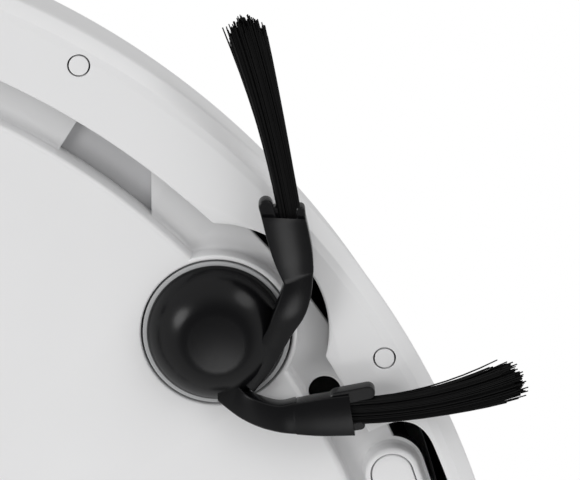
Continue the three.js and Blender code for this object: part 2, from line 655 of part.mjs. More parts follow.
// The part of the flange that is cut away round an oblong pad.
function padCut(side, depths) {
  const [near, far] = PAD_CUT_ANGLES;
  const edge = BODY_RADIUS - PAD_CUT_INSET;
  const back = FLANGE_INNER_RADIUS - 10;
  const turn = (PAD_CUT_CORNER / edge) * (180 / Math.PI);
  const at = (radius, degrees) => polar(radius, side * degrees);
  const shape = new THREE.Shape();
  shape.moveTo(...at(back, far));
  shape.lineTo(...at(edge - PAD_CUT_CORNER, far));
  shape.quadraticCurveTo(...at(edge, far), ...at(edge, far - turn));
  shape.lineTo(...at(edge, (near + far) / 2));
  shape.lineTo(...at(edge, near + turn));
  shape.quadraticCurveTo(...at(edge, near), ...at(edge - PAD_CUT_CORNER, near));
  shape.lineTo(...at(back, near));
  shape.closePath();
  return slab(shape, depths);
}

function rearShell(parent) {
  const start = -(BUMPER_TRAVEL + SEAM);
  const rearHalf = block([-BODY_RADIUS - 5, BODY_RADIUS + 5], [-BODY_RADIUS - 5, start], [0, BODY_TOP]);
  const half = BIN_HALF_WIDTH + GAP;
  const binWindow = block([-half, half], [-BODY_RADIUS - 5, BIN_FRONT], [BIN_Z[0] - GAP, BODY_TOP]);
  const slots = [];
  for (let i = 0; i < GRILLE_SLOTS; i++) {
    const z = FAN_Z - GRILLE_PITCH * (GRILLE_SLOTS / 2 - i - 0.5);
    const heights = [z - GRILLE_SLOT_HEIGHT / 2, z + GRILLE_SLOT_HEIGHT / 2];
    slots.push(cut(wedge(...GRILLE_ANGLES, heights), rod(TUB_RADIUS, [z - GRILLE_PITCH, z + GRILLE_PITCH])));
  }
  const ring = wallRing(PLATE_RADIUS + REAR_FLANGE_GAP);
  part(parent, 'rear_shell', cut(meet(ring, rearHalf), binWindow, ...slots), WHITE);
}

function topCover(parent) {
  const startZ = SPLIT_Z + SEAM / 2;
  const middles = [0.3, 0.65].map((share) => startZ + share * (BODY_TOP - startZ));
  const outside = [startZ, ...middles, BODY_TOP].map((z) => shoulderPoint(z));
  const inside = [startZ + 0.6, ...middles, BODY_TOP].map((z) => shoulderPoint(z, WALL)).reverse();
  const dome = turned([...outside, [0, BODY_TOP], [0, COVER_INSIDE], ...inside]);
  const heights = [COVER_INSIDE - 1, BODY_TOP + 1];
  const rotorHole = rod(ROTOR_RADIUS + ROTOR_HOLE_MARGIN, heights, [0, TURRET_Y], 32);
  const buttonHoles = buttonPlaces().map((place) => rod(BUTTON_RADIUS + RUNNING_GAP, heights, place));
  part(parent, 'top_cover', cut(dome, rotorHole, ...buttonHoles), WHITE);
}

// ---- turret and buttons ----

function turret(parent) {
  const ringZ = BODY_TOP + GAP;
  const windowZ = ringZ + TURRET_RING_HEIGHT;
  const capZ = windowZ + TURRET_WINDOW;
  const topZ = BODY_TOP + TURRET_HEIGHT;
  const inner = TURRET_RADIUS - TURRET_RING_WIDTH;
  const outer = TURRET_RADIUS;
  const ring = turned([[inner, ringZ], [outer, ringZ], [outer, windowZ], [inner, windowZ]], 36);
  const cap = turned([
    [0, capZ],
    [outer, capZ],
    [outer, topZ - 3],
    [outer - 1, topZ - 1],
    [outer - 4, topZ],
    [0, topZ],
  ], 36);
  const pillars = [];
  for (let i = 0; i < TURRET_PILLARS; i++) {
    const place = polar(TURRET_RADIUS - TURRET_RING_WIDTH / 2, (i * 360) / TURRET_PILLARS + 180);
    pillars.push(rod(TURRET_PILLAR_RADIUS, [windowZ - 0.5, capZ + 0.5], place, 8));
  }
  part(parent, 'turret_cap', join(ring, cap, ...pillars), WHITE, [0, TURRET_Y, 0]);
  const baseTop = COVER_INSIDE - GAP;
  const baseRadius = ROTOR_RADIUS + LIDAR_BASE_MARGIN;
  const boreEnd = baseTop - ROTOR_BORE_DEPTH;
  const base = turned([
    [0, baseTop - LIDAR_MOTOR_LENGTH],
    [MOTOR_RADIUS, baseTop - LIDAR_MOTOR_LENGTH],
    [MOTOR_RADIUS, baseTop - LIDAR_BASE_THICKNESS],
    [baseRadius, baseTop - LIDAR_BASE_THICKNESS],
    [baseRadius, baseTop],
    [AXLE_RADIUS + RUNNING_GAP, baseTop],
    [AXLE_RADIUS + RUNNING_GAP, boreEnd],
    [0, boreEnd],
  ], 24);
  part(parent, 'lidar_base', base, BLACK, [0, TURRET_Y, 0]);
  const rotor = turned([
    [0, boreEnd + 1],
    [AXLE_RADIUS, boreEnd + 1],
    [AXLE_RADIUS, baseTop + 0.5],
    [ROTOR_RADIUS, baseTop + 0.5],
    [ROTOR_RADIUS, capZ - 1],
    [0, capZ - 1],
  ], 28);
  const opticsY = [ROTOR_RADIUS - OPTICS_DEPTH, ROTOR_RADIUS + 1];
  const opticsFace = block([-ROTOR_RADIUS, ROTOR_RADIUS], opticsY, [windowZ - 2, capZ]);
  part(parent, 'lidar_rotor', cut(rotor, opticsFace), BLACK, [0, TURRET_Y, 0]);
}

function buttonPlaces() {
  return [-1, 1].map((side) => [(side * BUTTON_SPACING) / 2, BUTTON_Y]);
}

function buttons(parent) {
  const names = ['home_button', 'power_button'];
  const [stemRadius, stemReach] = BUTTON_STEM;
  buttonPlaces().forEach(([x, y], i) => {
    const button = turned([
      [0, -GAP - stemReach],
      [stemRadius, -GAP - stemReach],
      [stemRadius, -GAP - BUTTON_RIM],
      [BUTTON_RADIUS + BUTTON_RIM, -GAP - BUTTON_RIM],
      [BUTTON_RADIUS + BUTTON_RIM, -GAP],
      [BUTTON_RADIUS, -GAP],
      [BUTTON_RADIUS, WALL + BUTTON_PROUD - 0.4],
      [BUTTON_RADIUS - 0.6, WALL + BUTTON_PROUD],
      [0, WALL + BUTTON_PROUD],
    ], 20);
    part(parent, names[i], button, LIGHT_GREY, [x, y, COVER_INSIDE]);
  });
}

// ---- side brush ----

// A curved arm between its outer and its inner edge. Places are from the hub's middle.
function armOutline(outer, inner) {
  const shape = new THREE.Shape();
  const [first, ...rest] = outer.map(([x, y]) => new THREE.Vector2(x, y));
  const [corner, ...back] = inner.map(([x, y]) => new THREE.Vector2(x, y));
  shape.moveTo(first.x, first.y);
  shape.splineThru(rest);
  shape.lineTo(corner.x, corner.y);
  shape.splineThru(back);
  shape.closePath();
  return shape;
}

// The arm that sweeps round the front of the hub and points to the right.
function rightArm() {
  const outer = [[-11.6, 7.7], [-6.1, 11.5], [1.1, 15.3], [8.9, 19], [18, 19.7], [29.2, 17.6]];
  const inner = [[30.1, 8.5], [20.1, 10.9], [12.6, 13.6], [1.1, 10], [-7, 3]];
  return armOutline(outer, inner);
}

// The arm that leaves the left of the hub and points to the front.
function frontArm() {
  const outer = [[-13.8, 0.1], [-17.3, 6.2], [-19.2, 12.9], [-19.7, 22.3], [-19.4, 28.4]];
  const inner = [[-10.4, 27], [-12, 18], [-13.3, 12.5], [-12.2, 7.5], [-8, 2]];
  return armOutline(outer, inner);
}

// A tuft that narrows to its root in a sleeve and fans out to its tip near the floor.
function tuft(root, tip, rootZ, tipZ) {
  const corners = [];
  for (const [line, heights] of [[root, rootZ], [tip, tipZ]]) {
    for (const [x, y] of line) heights.forEach((z) => corners.push(new THREE.Vector3(x, y, z)));
  }
  return new ConvexGeometry(corners);
}

function sideBrush(parent) {
  const group = new THREE.Group();
  group.position.set(...HUB, CLEARANCE);
  parent.add(group);
  const shaftTop = CHANNEL_DEPTH + WALL + SIDE_SHAFT_RISE;
  const dome = turned([
    [0, -DOME_HEIGHT],
    [0.55 * DOME_RADIUS, -DOME_HEIGHT + 0.2],
    [0.82 * DOME_RADIUS, -0.62 * DOME_HEIGHT],
    [DOME_RADIUS, 0],
    [SIDE_SHAFT_RADIUS, 0],
    [SIDE_SHAFT_RADIUS, shaftTop],
    [0, shaftTop],
  ], 28);
  const heights = [-ARM_DROP, -ARM_DROP + ARM_THICKNESS];
  const arms = [rightArm(), frontArm()].map((outline) => slab(outline, heights, 2));
  part(group, 'side_brush', join(dome, ...arms), BLACK_GLOSS);
  const sleeve = [-ARM_DROP + 0.6, -ARM_DROP + ARM_THICKNESS - 0.6];
  const spread = [0.7 - CLEARANCE, 4.8 - CLEARANCE];
  const first = tuft([[30.4, 10.8], [30.1, 15.9]], [[66.5, 10.3], [69.5, 1.6]], sleeve, spread);
  const second = tuft([[-12.2, 27.8], [-17.6, 28.6]], [[-2.6, 61.8], [-10.4, 62.6]], sleeve, spread);
  part(group, 'side_tuft_1', first, BRISTLE);
  part(group, 'side_tuft_2', second, BRISTLE);
  const direction = angleToMiddle(HUB);
  const gearZ = CHANNEL_DEPTH + WALL + GAP + GEARBOX_WALL + 0.6;
  const gear = slab(gearOutline(SIDE_GEAR_TEETH, 0, GEAR_BORE), [gearZ, gearZ + GEAR_WIDTH]);
  part(group, 'side_brush_gear', gear, LIGHT_GREY);
  const phase = meshedPhase(SIDE_GEAR_TEETH, 0, direction, SIDE_PINION_TEETH);
  const pinion = join(
    slab(gearOutline(SIDE_PINION_TEETH, phase, 0), [gearZ, gearZ + GEAR_WIDTH]),
    rod(1.5, [gearZ + 1, gearZ + GEAR_WIDTH + 1.2], [0, 0], 10),
  );
  const pinionPlace = [SIDE_PINION[0] - HUB[0], SIDE_PINION[1] - HUB[1], 0];
  part(group, 'side_brush_pinion', pinion, METAL, pinionPlace);
}

function sideBrushDrive(parent) {
  const floorZ = CHANNEL_Z + WALL + GAP;
  const rimZ = floorZ + GEARBOX_WALL + GEAR_WIDTH + 1.8;
  const gearSpace = (TOOTH * SIDE_GEAR_TEETH) / 2 + 2;
  const pinionSpace = (TOOTH * SIDE_PINION_TEETH) / 2 + 2.6;
  const outside = link(HUB, gearSpace + GEARBOX_WALL, SIDE_PINION, pinionSpace + GEARBOX_WALL);
  const inside = link(HUB, gearSpace, SIDE_PINION, pinionSpace);
  const box = cut(
    slab(outside, [floorZ, rimZ], 9),
    slab(inside, [floorZ + GEARBOX_WALL, rimZ + 1], 9),
    rod(SIDE_SHAFT_RADIUS + RUNNING_GAP, [floorZ - 1, rimZ], HUB),
  );
  part(parent, 'side_brush_gearbox', box, GREY);
  const motorZ = [rimZ + GAP, rimZ + GAP + SIDE_MOTOR_LENGTH];
  part(parent, 'side_brush_motor', rod(MOTOR_RADIUS, motorZ, SIDE_PINION), METAL);
  const lip = CLEARANCE + BEZEL_RECESS;
  const bezel = turned([
    [SIDE_SHAFT_RADIUS + 1.5, lip],
    [BEZEL_RADIUS, lip],
    [BEZEL_RADIUS, CHANNEL_Z + WALL],
    [BEZEL_RADIUS - 1.6, CHANNEL_Z + WALL],
    [BEZEL_RADIUS - 1.6, lip + 2],
    [SIDE_SHAFT_RADIUS + 1.5, lip + 2],
  ], 32);
  part(parent, 'side_brush_bezel', bezel, LIGHT_GREY, [...HUB, 0]);
}

// ---- main brush ----

// A roller whose straight vanes are twisted the opposite way on each half, like a chevron.
function vanedRoller() {
  const points = [];
  const half = VANE_THICKNESS / 2;
  for (let i = 0; i < BRUSH_VANES; i++) {
    const middle = (i * 2 * Math.PI) / BRUSH_VANES;
    const spread = Math.asin(half / BRUSH_CORE_RADIUS);
    const tipSpread = Math.asin(half / BRUSH_RADIUS);
    points.push(stepFrom([0, 0], BRUSH_CORE_RADIUS, middle - spread));
    points.push(stepFrom([0, 0], BRUSH_RADIUS, middle - tipSpread));
    points.push(stepFrom([0, 0], BRUSH_RADIUS, middle + tipSpread));
    points.push(stepFrom([0, 0], BRUSH_CORE_RADIUS, middle + spread));
    points.push(stepFrom([0, 0], BRUSH_CORE_RADIUS, middle + Math.PI / BRUSH_VANES));
  }
  const geometry = slab(polygon(points), [-BRUSH_HALF_LENGTH, BRUSH_HALF_LENGTH], 1, 8);
  const place = geometry.attributes.position;
  const point = new THREE.Vector3();
  const axis = new THREE.Vector3(0, 0, 1);
  for (let i = 0; i < place.count; i++) {
    point.fromBufferAttribute(place, i);
    point.applyAxisAngle(axis, (radians(BRUSH_TWIST) * Math.abs(point.z)) / BRUSH_HALF_LENGTH);
    place.setXYZ(i, point.x, point.y, point.z);
  }
  return geometry;
}

function mainBrush(parent) {
  const place = [0, BRUSH_Y, BRUSH_Z];
  const shaft = rod(AXLE_RADIUS, [BRUSH_GEAR_X, CHAMBER_HALF - 0.5], [0, 0], 12);
  const gearSpan = [BRUSH_GEAR_X, BRUSH_GEAR_X + GEAR_WIDTH];
  const gear = slab(gearOutline(BRUSH_GEAR_TEETH, 0, 0), gearSpan);
  const roller = join(...[vanedRoller(), shaft, gear].map(alongX));
  part(parent, 'main_brush', roller, RUBBER, place);
  const idlerPhase = meshedPhase(BRUSH_GEAR_TEETH, 0, radians(IDLER_DIRECTION), IDLER_TEETH);
  const idler = slab(gearOutline(IDLER_TEETH, idlerPhase, 0), gearSpan);
  part(parent, 'brush_idler_gear', alongX(idler), LIGHT_GREY, [0, ...IDLER]);
  const pinionPhase = meshedPhase(IDLER_TEETH, idlerPhase, radians(PINION_DIRECTION), BRUSH_PINION_TEETH);
  const pinion = slab(gearOutline(BRUSH_PINION_TEETH, pinionPhase, 0), gearSpan);
  part(parent, 'brush_motor_pinion', alongX(pinion), METAL, [0, ...BRUSH_PINION]);
}

function brushHousing(parent) {
  const bottom = PLATE_TOP + 2 * GAP;
  const arch = (radius) => {
    const shape = new THREE.Shape();
    shape.moveTo(BRUSH_Y + radius, bottom);
    shape.lineTo(BRUSH_Y + radius, BRUSH_Z);
    shape.absarc(BRUSH_Y, BRUSH_Z, radius, 0, Math.PI);
    shape.lineTo(BRUSH_Y - radius, bottom);
    shape.closePath();
    return shape;
  };
  const inner = CHAMBER_HALF - CHAMBER_WALL;
  const mouthZ = DUST_MOUTH_RISE.map((rise) => BRUSH_Z + rise);
  const body = cut(
    alongX(slab(arch(CHAMBER_OUTER), [-CHAMBER_HALF, CHAMBER_HALF], 10)),
    alongX(slab(arch(CHAMBER_INNER), [-inner, inner], 10)),
    block([-inner, inner], [BRUSH_Y - CHAMBER_INNER, BRUSH_Y + CHAMBER_INNER], [bottom - 1, bottom + 1]),
    block([-DUST_MOUTH_HALF, DUST_MOUTH_HALF], [BIN_FRONT, BRUSH_Y - BRUSH_CORE_RADIUS], mouthZ),
    alongX(rod(AXLE_RADIUS + RUNNING_GAP, [-CHAMBER_HALF - 1, CHAMBER_HALF + 1], [BRUSH_Y, BRUSH_Z], 12)),
  );
  part(parent, 'brush_housing', body, BLACK);
  const motorStart = BRUSH_GEAR_X + GEAR_WIDTH + GEAR_END_GAP;
  const motor = rod(MOTOR_RADIUS, [motorStart, motorStart + BRUSH_MOTOR_LENGTH], BRUSH_PINION, 24);
  part(parent, 'brush_motor', alongX(motor), METAL);
}

function brushGuard(parent) {
  const heights = [CLEARANCE + FLUSH, CLEARANCE + FLUSH + GUARD_THICKNESS];
  const [endMargin, sideMargin] = GUARD_WINDOW_MARGIN;
  const window = [BRUSH_HALF_LENGTH + endMargin, BRUSH_RADIUS + sideMargin];
  const through = [heights[0] - 1, heights[1] + 1];
  const latchX = GUARD_HALF_X / 2;
  const latchY = BRUSH_Y + GUARD_HALF_Y - LATCH_INSET;
  const latchPlaces = [-1, 1].map((side) => [side * latchX, latchY]);
  const latchCuts = latchPlaces.map((place) => latchBox(place, through, RUNNING_GAP, LATCH_TRAVEL));
  const frame = cut(
    slab(roundedBox(GUARD_HALF_X, GUARD_HALF_Y, 4, [0, BRUSH_Y]), heights, 2),
    slab(roundedBox(...window, 3, [0, BRUSH_Y]), through, 2),
    ...latchCuts,
  );
  part(parent, 'brush_guard', frame, WHITE);
  for (const [side, label] of [[1, 'right'], [-1, 'left']]) {
    const latch = latchBox([0, 0], [0, GUARD_THICKNESS], 0, 0);
    const ridge = block([-1, 1], [-1.6, 1.6], [-0.8, 0.5]);
    part(parent, `guard_latch_${label}`, join(latch, ridge), BLACK, [side * latchX, latchY, heights[0]]);
  }
}

function latchBox([x, y], heights, margin, travel) {
  const half = LATCH_WIDTH / 2 + margin + travel;
  const depth = LATCH_HALF_DEPTH + margin;
  return block([x - half, x + half], [y - depth, y + depth], heights);
}

// ---- wheels ----

function wheelModule(parent, side, label) {
  const across = (span) => mirrored(span, side);
  const [inside, outside] = HOUSING_X;
  const bottom = PLATE_TOP + GAP;
  const roof = 2 * WHEEL_RADIUS + WHEEL_HEADROOM;
  const outerSpace = WHEEL_SPACE + HOUSING_WALL;
  const pivot = [WHEEL_Y + ARM_LENGTH, WHEEL_RADIUS + PIVOT_RISE];
  const pinSpan = across([inside + 1, ARM_X[1] + 1]);
  const shell = cut(
    block(across([inside, outside]), [WHEEL_Y - outerSpace, WHEEL_Y + outerSpace], [bottom, roof]),
    block(
      across([inside + HOUSING_WALL, outside - HOUSING_WALL]),
      [WHEEL_Y - WHEEL_SPACE, WHEEL_Y + WHEEL_SPACE],
      [bottom - 1, roof - HOUSING_WALL],
    ),
  );
  const pin = alongX(rod(PIVOT_PIN_RADIUS, pinSpan, pivot, 12));
  part(parent, `wheel_housing_${label}`, join(shell, pin), GREY);
  const armSpan = across(ARM_X);
  const arm = cut(
    alongX(slab(link([WHEEL_Y, WHEEL_RADIUS], ARM_WHEEL_END, pivot, ARM_PIVOT_END), armSpan, 8)),
    alongX(rod(PIVOT_PIN_RADIUS + RUNNING_GAP, across([ARM_X[0] - 1, ARM_X[1] + 1]), pivot, 12)),
    alongX(rod(AXLE_RADIUS + RUNNING_GAP, across([ARM_X[0] + 3, ARM_X[1] + 1]), [WHEEL_Y, WHEEL_RADIUS], 12)),
  );
  part(parent, `wheel_gearbox_${label}`, arm, BLACK);
  const group = new THREE.Group();
  group.position.set(side * WHEEL_X, WHEEL_Y, WHEEL_RADIUS);
  parent.add(group);
  const half = WHEEL_WIDTH / 2;
  const rim = (radius, from, to) => alongX(rod(radius, across([from, to]), [0, 0], radius > 10 ? 28 : 12));
  const recesses = [[half - 4, half], [-half, -half + 4]].map((span) => rim(RIM_RADIUS - 4, ...span));
  const hub = join(
    cut(rim(RIM_RADIUS, -half + 1, half - 1), ...recesses),
    rim(8, half - 5, half - 1.5),
    rim(AXLE_RADIUS, ARM_X[0] + 4 - WHEEL_X, -half + 5),
  );
  part(group, `wheel_hub_${label}`, hub, GREY);
  const outline = [];
  for (let i = 0; i < LUGS; i++) {
    const middle = radians((i * 360) / LUGS - 90);
    const step = radians(360 / LUGS);
    for (const [share, depth] of [[-0.4, LUG_DEPTH], [-0.28, 0], [0.28, 0], [0.4, LUG_DEPTH]]) {
      outline.push(stepFrom([0, 0], WHEEL_RADIUS - depth, middle + share * step));
    }
  }
  const tread = polygon(outline);
  tread.holes.push(new THREE.Path().absarc(0, 0, RIM_RADIUS + GAP, 0, 2 * Math.PI));
  part(group, `wheel_tyre_${label}`, alongX(slab(tread, [-half, half], 14)), RUBBER);
}

function caster(parent) {
  const group = new THREE.Group();
  group.position.set(0, CASTER_Y, 0);
  parent.add(group);
  const roof = CLEARANCE + CASTER_SOCKET_HEIGHT;
  const socketRadius = CASTER_BORE + CASTER_SOCKET_WALL;
  const socket = turned([
    [CASTER_BORE, CLEARANCE + FLUSH],
    [socketRadius, CLEARANCE + FLUSH],
    [socketRadius, roof],
    [CASTER_STEM_RADIUS + RUNNING_GAP, roof],
    [CASTER_STEM_RADIUS + RUNNING_GAP, roof - 2],
    [CASTER_BORE, roof - 2],
  ], 28);
  part(group, 'caster_socket', socket, GREY);
  const forkZ = [CLEARANCE + 0.5, roof - 2.6];
  const half = CASTER_WIDTH / 2 + 0.8;
  const reach = CASTER_RADIUS + 1.5;
  const outside = half + CASTER_EAR_THICKNESS;
  const earY = [-CASTER_OFFSET - CASTER_EAR_HALF, -CASTER_OFFSET + CASTER_EAR_HALF];
  const earZ = [CASTER_RADIUS - 5, forkZ[0] + 1];
  const ears = [-1, 1].map((side) => block(mirrored([half, outside], side), earY, earZ));
  const disc = rod(CASTER_FORK_RADIUS, forkZ, [0, 0], 28);
  const stem = rod(CASTER_STEM_RADIUS, [forkZ[1] - 1, roof + 3], [0, 0], 12);
  const axle = [-CASTER_OFFSET, CASTER_RADIUS];
  const axleHole = rod(CASTER_AXLE_RADIUS + RUNNING_GAP, [-outside, outside], axle, 12);
  const fork = cut(
    join(disc, stem, ...ears),
    block([-half, half], [-CASTER_OFFSET - reach, -CASTER_OFFSET + reach], [0, 2 * CASTER_RADIUS + 1.2]),
    alongX(axleHole),
  );
  part(group, 'caster_fork', fork, BLACK);
  const wheel = join(
    alongX(rod(CASTER_RADIUS, [-CASTER_WIDTH / 2, CASTER_WIDTH / 2], [0, 0], 28)),
    alongX(rod(CASTER_AXLE_RADIUS, [-half - 3, half + 3], [0, 0], 12)),
  );
  part(group, 'caster_wheel', wheel, RUBBER, [0, -CASTER_OFFSET, CASTER_RADIUS]);
}

// ---- dustbin and fan ----

function dustbin(parent) {
  const [z0, z1] = BIN_Z;
  const box = (margin) => block(
    [-BIN_HALF_WIDTH + margin, BIN_HALF_WIDTH - margin],
    [-BODY_RADIUS - 5, BIN_FRONT - margin],
    [z0 + margin, z1 - margin],
  );
  const back = (inset) => wallCore(inset, z1 - 0.01);
  const mouthZ = DUST_MOUTH_RISE.map((rise) => BRUSH_Z + rise);
  const filterY = [FAN_Y - FILTER_LENGTH / 2, FAN_Y + FILTER_LENGTH / 2];
  const filterZ = [FAN_Z - FILTER_HEIGHT / 2, FAN_Z + FILTER_HEIGHT / 2];
  const releaseZ = z1 - RELEASE_DROP;
  const releaseSpan = (margin) => block(
    [-RELEASE_HALF_WIDTH - margin, RELEASE_HALF_WIDTH + margin],
    [-BODY_RADIUS - 5, -BODY_RADIUS + 30],
    [releaseZ - RELEASE_HEIGHT / 2 - margin, releaseZ + RELEASE_HEIGHT / 2 + margin],
  );
  const tray = cut(
    meet(box(0), back(0)),
    meet(box(BIN_WALL), back(BIN_WALL)),
    block([-DUST_MOUTH_HALF, DUST_MOUTH_HALF], [BIN_FRONT - BIN_WALL - 1, BIN_FRONT + 1], mouthZ),
    block([-BIN_HALF_WIDTH - 1, -BIN_HALF_WIDTH + BIN_WALL + 1], [filterY[0] + 3, filterY[1] - 3],
      [filterZ[0] + 3, filterZ[1] - 3]),
    releaseSpan(RUNNING_GAP),
  );
  part(parent, 'dustbin', tray, CLEAR_GREY);
  const pleats = [];
  const filterX = [-BIN_HALF_WIDTH + BIN_WALL + GAP, -BIN_HALF_WIDTH + BIN_WALL + GAP + FILTER_THICKNESS];
  const pitch = FILTER_LENGTH / FILTER_PLEATS;
  for (let i = 0; i <= FILTER_PLEATS; i++) {
    pleats.push([filterX[1], filterY[0] + i * pitch]);
    if (i < FILTER_PLEATS) pleats.push([filterX[1] - 3, filterY[0] + (i + 0.5) * pitch]);
  }
  const outline = polygon([[filterX[0], filterY[1]], [filterX[0], filterY[0]], ...pleats]);
  part(parent, 'dustbin_filter', slab(outline, filterZ), WHITE);
  const release = cut(meet(releaseSpan(0), back(0)), back(RELEASE_THICKNESS));
  part(parent, 'bin_release_button', release, BLACK);
}

function fan(parent) {
  const group = new THREE.Group();
  group.position.set(FAN_X, FAN_Y, FAN_Z);
  parent.add(group);
  const inner = FAN_RADIUS - HOUSING_WALL;
  const casing = alongX(turned([
    [FAN_INLET_RADIUS, 0],
    [FAN_RADIUS, 0],
    [FAN_RADIUS, -FAN_LENGTH],
    [FAN_MOTOR_RADIUS + GAP, -FAN_LENGTH],
    [FAN_MOTOR_RADIUS + GAP, -FAN_LENGTH + HOUSING_WALL],
    [inner, -FAN_LENGTH + HOUSING_WALL],
    [inner, -HOUSING_WALL],
    [FAN_INLET_RADIUS, -HOUSING_WALL],
  ], 24));
  const outlet = block([-FAN_LENGTH + 4, -4], [-FAN_RADIUS - 2, -FAN_RADIUS + 6], [-9, 9]);
  part(group, 'fan_housing', cut(casing, outlet), GREY);
  const discX = -FAN_LENGTH / 2 + 1;
  const blades = [];
  for (let i = 0; i < FAN_BLADES; i++) {
    const blade = block([5, inner - 2.5], [-0.6, 0.6], [discX - 1, -HOUSING_WALL - 1]);
    blades.push(alongX(blade.rotateZ(radians((i * 360) / FAN_BLADES))));
  }
  const disc = alongX(rod(inner - 2, [discX - 2, discX], [0, 0], 20));
  const boss = alongX(rod(5.5, [discX - 2, -HOUSING_WALL - 2], [0, 0], 8));
  part(group, 'fan_impeller', join(disc, boss, ...blades), LIGHT_GREY);
  part(group, 'fan_motor', alongX(rod(FAN_MOTOR_RADIUS, [-FAN_LENGTH - 1, discX - 2.6], [0, 0], 24)), METAL);
}

// ---- battery and board ----

function batteryCoverOutline(margin) {
  const halfLength = BATTERY_LENGTH / 2 + COVER_MARGIN + margin;
  const middle = [0, BATTERY_FRONT - BATTERY_LENGTH / 2];
  return roundedBox(BATTERY_HALF_WIDTH + COVER_MARGIN + margin, halfLength, 5, middle);
}

function electrics(parent) {
  const back = BATTERY_FRONT - BATTERY_LENGTH;
  part(parent, 'battery_cover', slab(batteryCoverOutline(0), [CLEARANCE, PLATE_TOP], 2), WHITE);
  const packZ = [PLATE_TOP + 1, PLATE_TOP + 1 + BATTERY_HEIGHT];
  const pack = roundedBox(BATTERY_HALF_WIDTH, BATTERY_LENGTH / 2, 6, [0, (BATTERY_FRONT + back) / 2]);
  part(parent, 'battery_pack', slab(pack, packZ, 2), BLUE);
  const [width, length, thickness] = BOARD_SIZE;
  const middleY = BATTERY_FRONT - BATTERY_LENGTH / 2 + 6;
  const top = BOARD_Z + thickness;
  const chips = [[-30, 10, 9, 2], [15, -12, 7, 1.6], [38, 16, 6, 6], [-8, 20, 5, 3]];
  const raised = chips.map(([x, y, half, height]) =>
    block([x - half, x + half], [middleY + y - half, middleY + y + half], [BOARD_Z + 0.5, top + height]));
  const board = block([-width / 2, width / 2], [middleY - length / 2, middleY + length / 2], [BOARD_Z, top]);
  part(parent, 'main_board', join(board, ...raised), GREEN);
}

// ---- assembly ----

const group = new THREE.Group();
chassis(group);
bumper(group);
rearShell(group);
topCover(group);
turret(group);
buttons(group);
sideBrush(group);
sideBrushDrive(group);
mainBrush(group);
brushHousing(group);
brushGuard(group);
wheelModule(group, 1, 'right');
wheelModule(group, -1, 'left');
caster(group);
dustbin(group);
fan(group);
electrics(group);

export default group;
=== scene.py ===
import json
import math
import random

import bmesh
import bpy
from mathutils import Matrix, Vector

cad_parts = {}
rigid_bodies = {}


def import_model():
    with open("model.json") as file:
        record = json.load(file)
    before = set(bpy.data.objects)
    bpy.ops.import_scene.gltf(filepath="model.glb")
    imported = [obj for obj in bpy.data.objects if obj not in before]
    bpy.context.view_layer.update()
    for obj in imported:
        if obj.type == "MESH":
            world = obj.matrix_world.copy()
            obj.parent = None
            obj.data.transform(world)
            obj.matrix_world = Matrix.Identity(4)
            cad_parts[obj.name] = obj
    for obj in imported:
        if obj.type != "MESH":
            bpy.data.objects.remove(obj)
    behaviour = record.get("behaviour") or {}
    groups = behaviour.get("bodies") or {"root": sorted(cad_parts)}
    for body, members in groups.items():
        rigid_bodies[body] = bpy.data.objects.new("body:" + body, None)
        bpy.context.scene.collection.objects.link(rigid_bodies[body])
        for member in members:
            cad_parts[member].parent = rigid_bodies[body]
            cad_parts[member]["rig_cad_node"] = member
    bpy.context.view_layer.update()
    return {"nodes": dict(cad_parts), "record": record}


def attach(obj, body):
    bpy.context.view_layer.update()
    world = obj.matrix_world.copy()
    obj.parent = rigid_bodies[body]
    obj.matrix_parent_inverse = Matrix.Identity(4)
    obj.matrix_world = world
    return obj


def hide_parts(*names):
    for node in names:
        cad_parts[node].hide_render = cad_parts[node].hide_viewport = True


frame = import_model()

MM = 0.001
FINE = 240  # sides of the large round shells

# ---- sizes of the CAD model, in millimetres ----

BODY_RADIUS = 175
BODY_TOP = 82
CLEARANCE = 12
WALL = 2.5
GAP = 0.3
WALL_LEAN = 0.16
SHOULDER_Z = 47
SHOULDER_RADIUS = 169.88
TOP_EDGE_RADIUS = 143
SPLIT_Z = 61.7
FLANGE_FLAT_RADIUS = 170.6
FLANGE_INNER_RADIUS = 158.7
FLANGE_THICKNESS = 2.2
PLATE_RADIUS = 150.5
PLATE_TOP = 14.5
CHANNEL_Z = 17
TUB_RADIUS = 162.5
TUB_TOP = 44
COVER_INSIDE = 79.5
HUB = (90.04, 111.99)
NOTCH_RADIUS = 23
RELIEF_RADIUS = 43.5
RELIEF_MIDDLE = 121.4
HUB_ANGLE = 38.8
PLUG_ANGLES = (-60, -30, 30, 60)
PLUG_DISTANCE = 169
PLUG_RADIUS = 2.05
BRUSH_Y = -42
BRUSH_Z = 24
BIN_FRONT = -70
BIN_Z = (19.8, 61.2)
TURRET_Y = -25
POCKET_ANGLES = (50.3, 57.9)
WHEEL_X = 120
WHEEL_Y = -10
WHEEL_RADIUS = 35
WHEEL_WIDTH = 18
RIM_RADIUS = 27
BRUSH_HALF = 79
BIN_HALF = 78
BIN_WALL = 2
RELEASE_HALF = 11
RELEASE_DROP = 15
RELEASE_HALF_HEIGHT = 4.5
DUST_MOUTH_HALF = 56
CASTER_Y = 121
CASTER_RADIUS = 12
CASTER_HALF_WIDTH = 7
CASTER_OFFSET = 4
CASTER_HOLE_RADIUS = 26
CASTER_BORE_RADIUS = 22
COLLAR_RADIUS = 16.5
HUB_HOLE_RADIUS = 15.5
CHANNEL_HOLE = (154.0, 29.4, 3.4)  # distance out, angle, radius
PAD_RADIUS = 5.6
PAD_CAP_RADIUS = 4.2
POSTS = ((-54, CASTER_Y), (54, CASTER_Y), (-120, -62), (120, -62))
POST_RADIUS = 4
BUTTON_RADIUS = 9
BUTTON_X = (-16, 16)
BUTTON_Y = 100
LASER_HOLE_RADIUS = 37


# ---- mesh tools ----


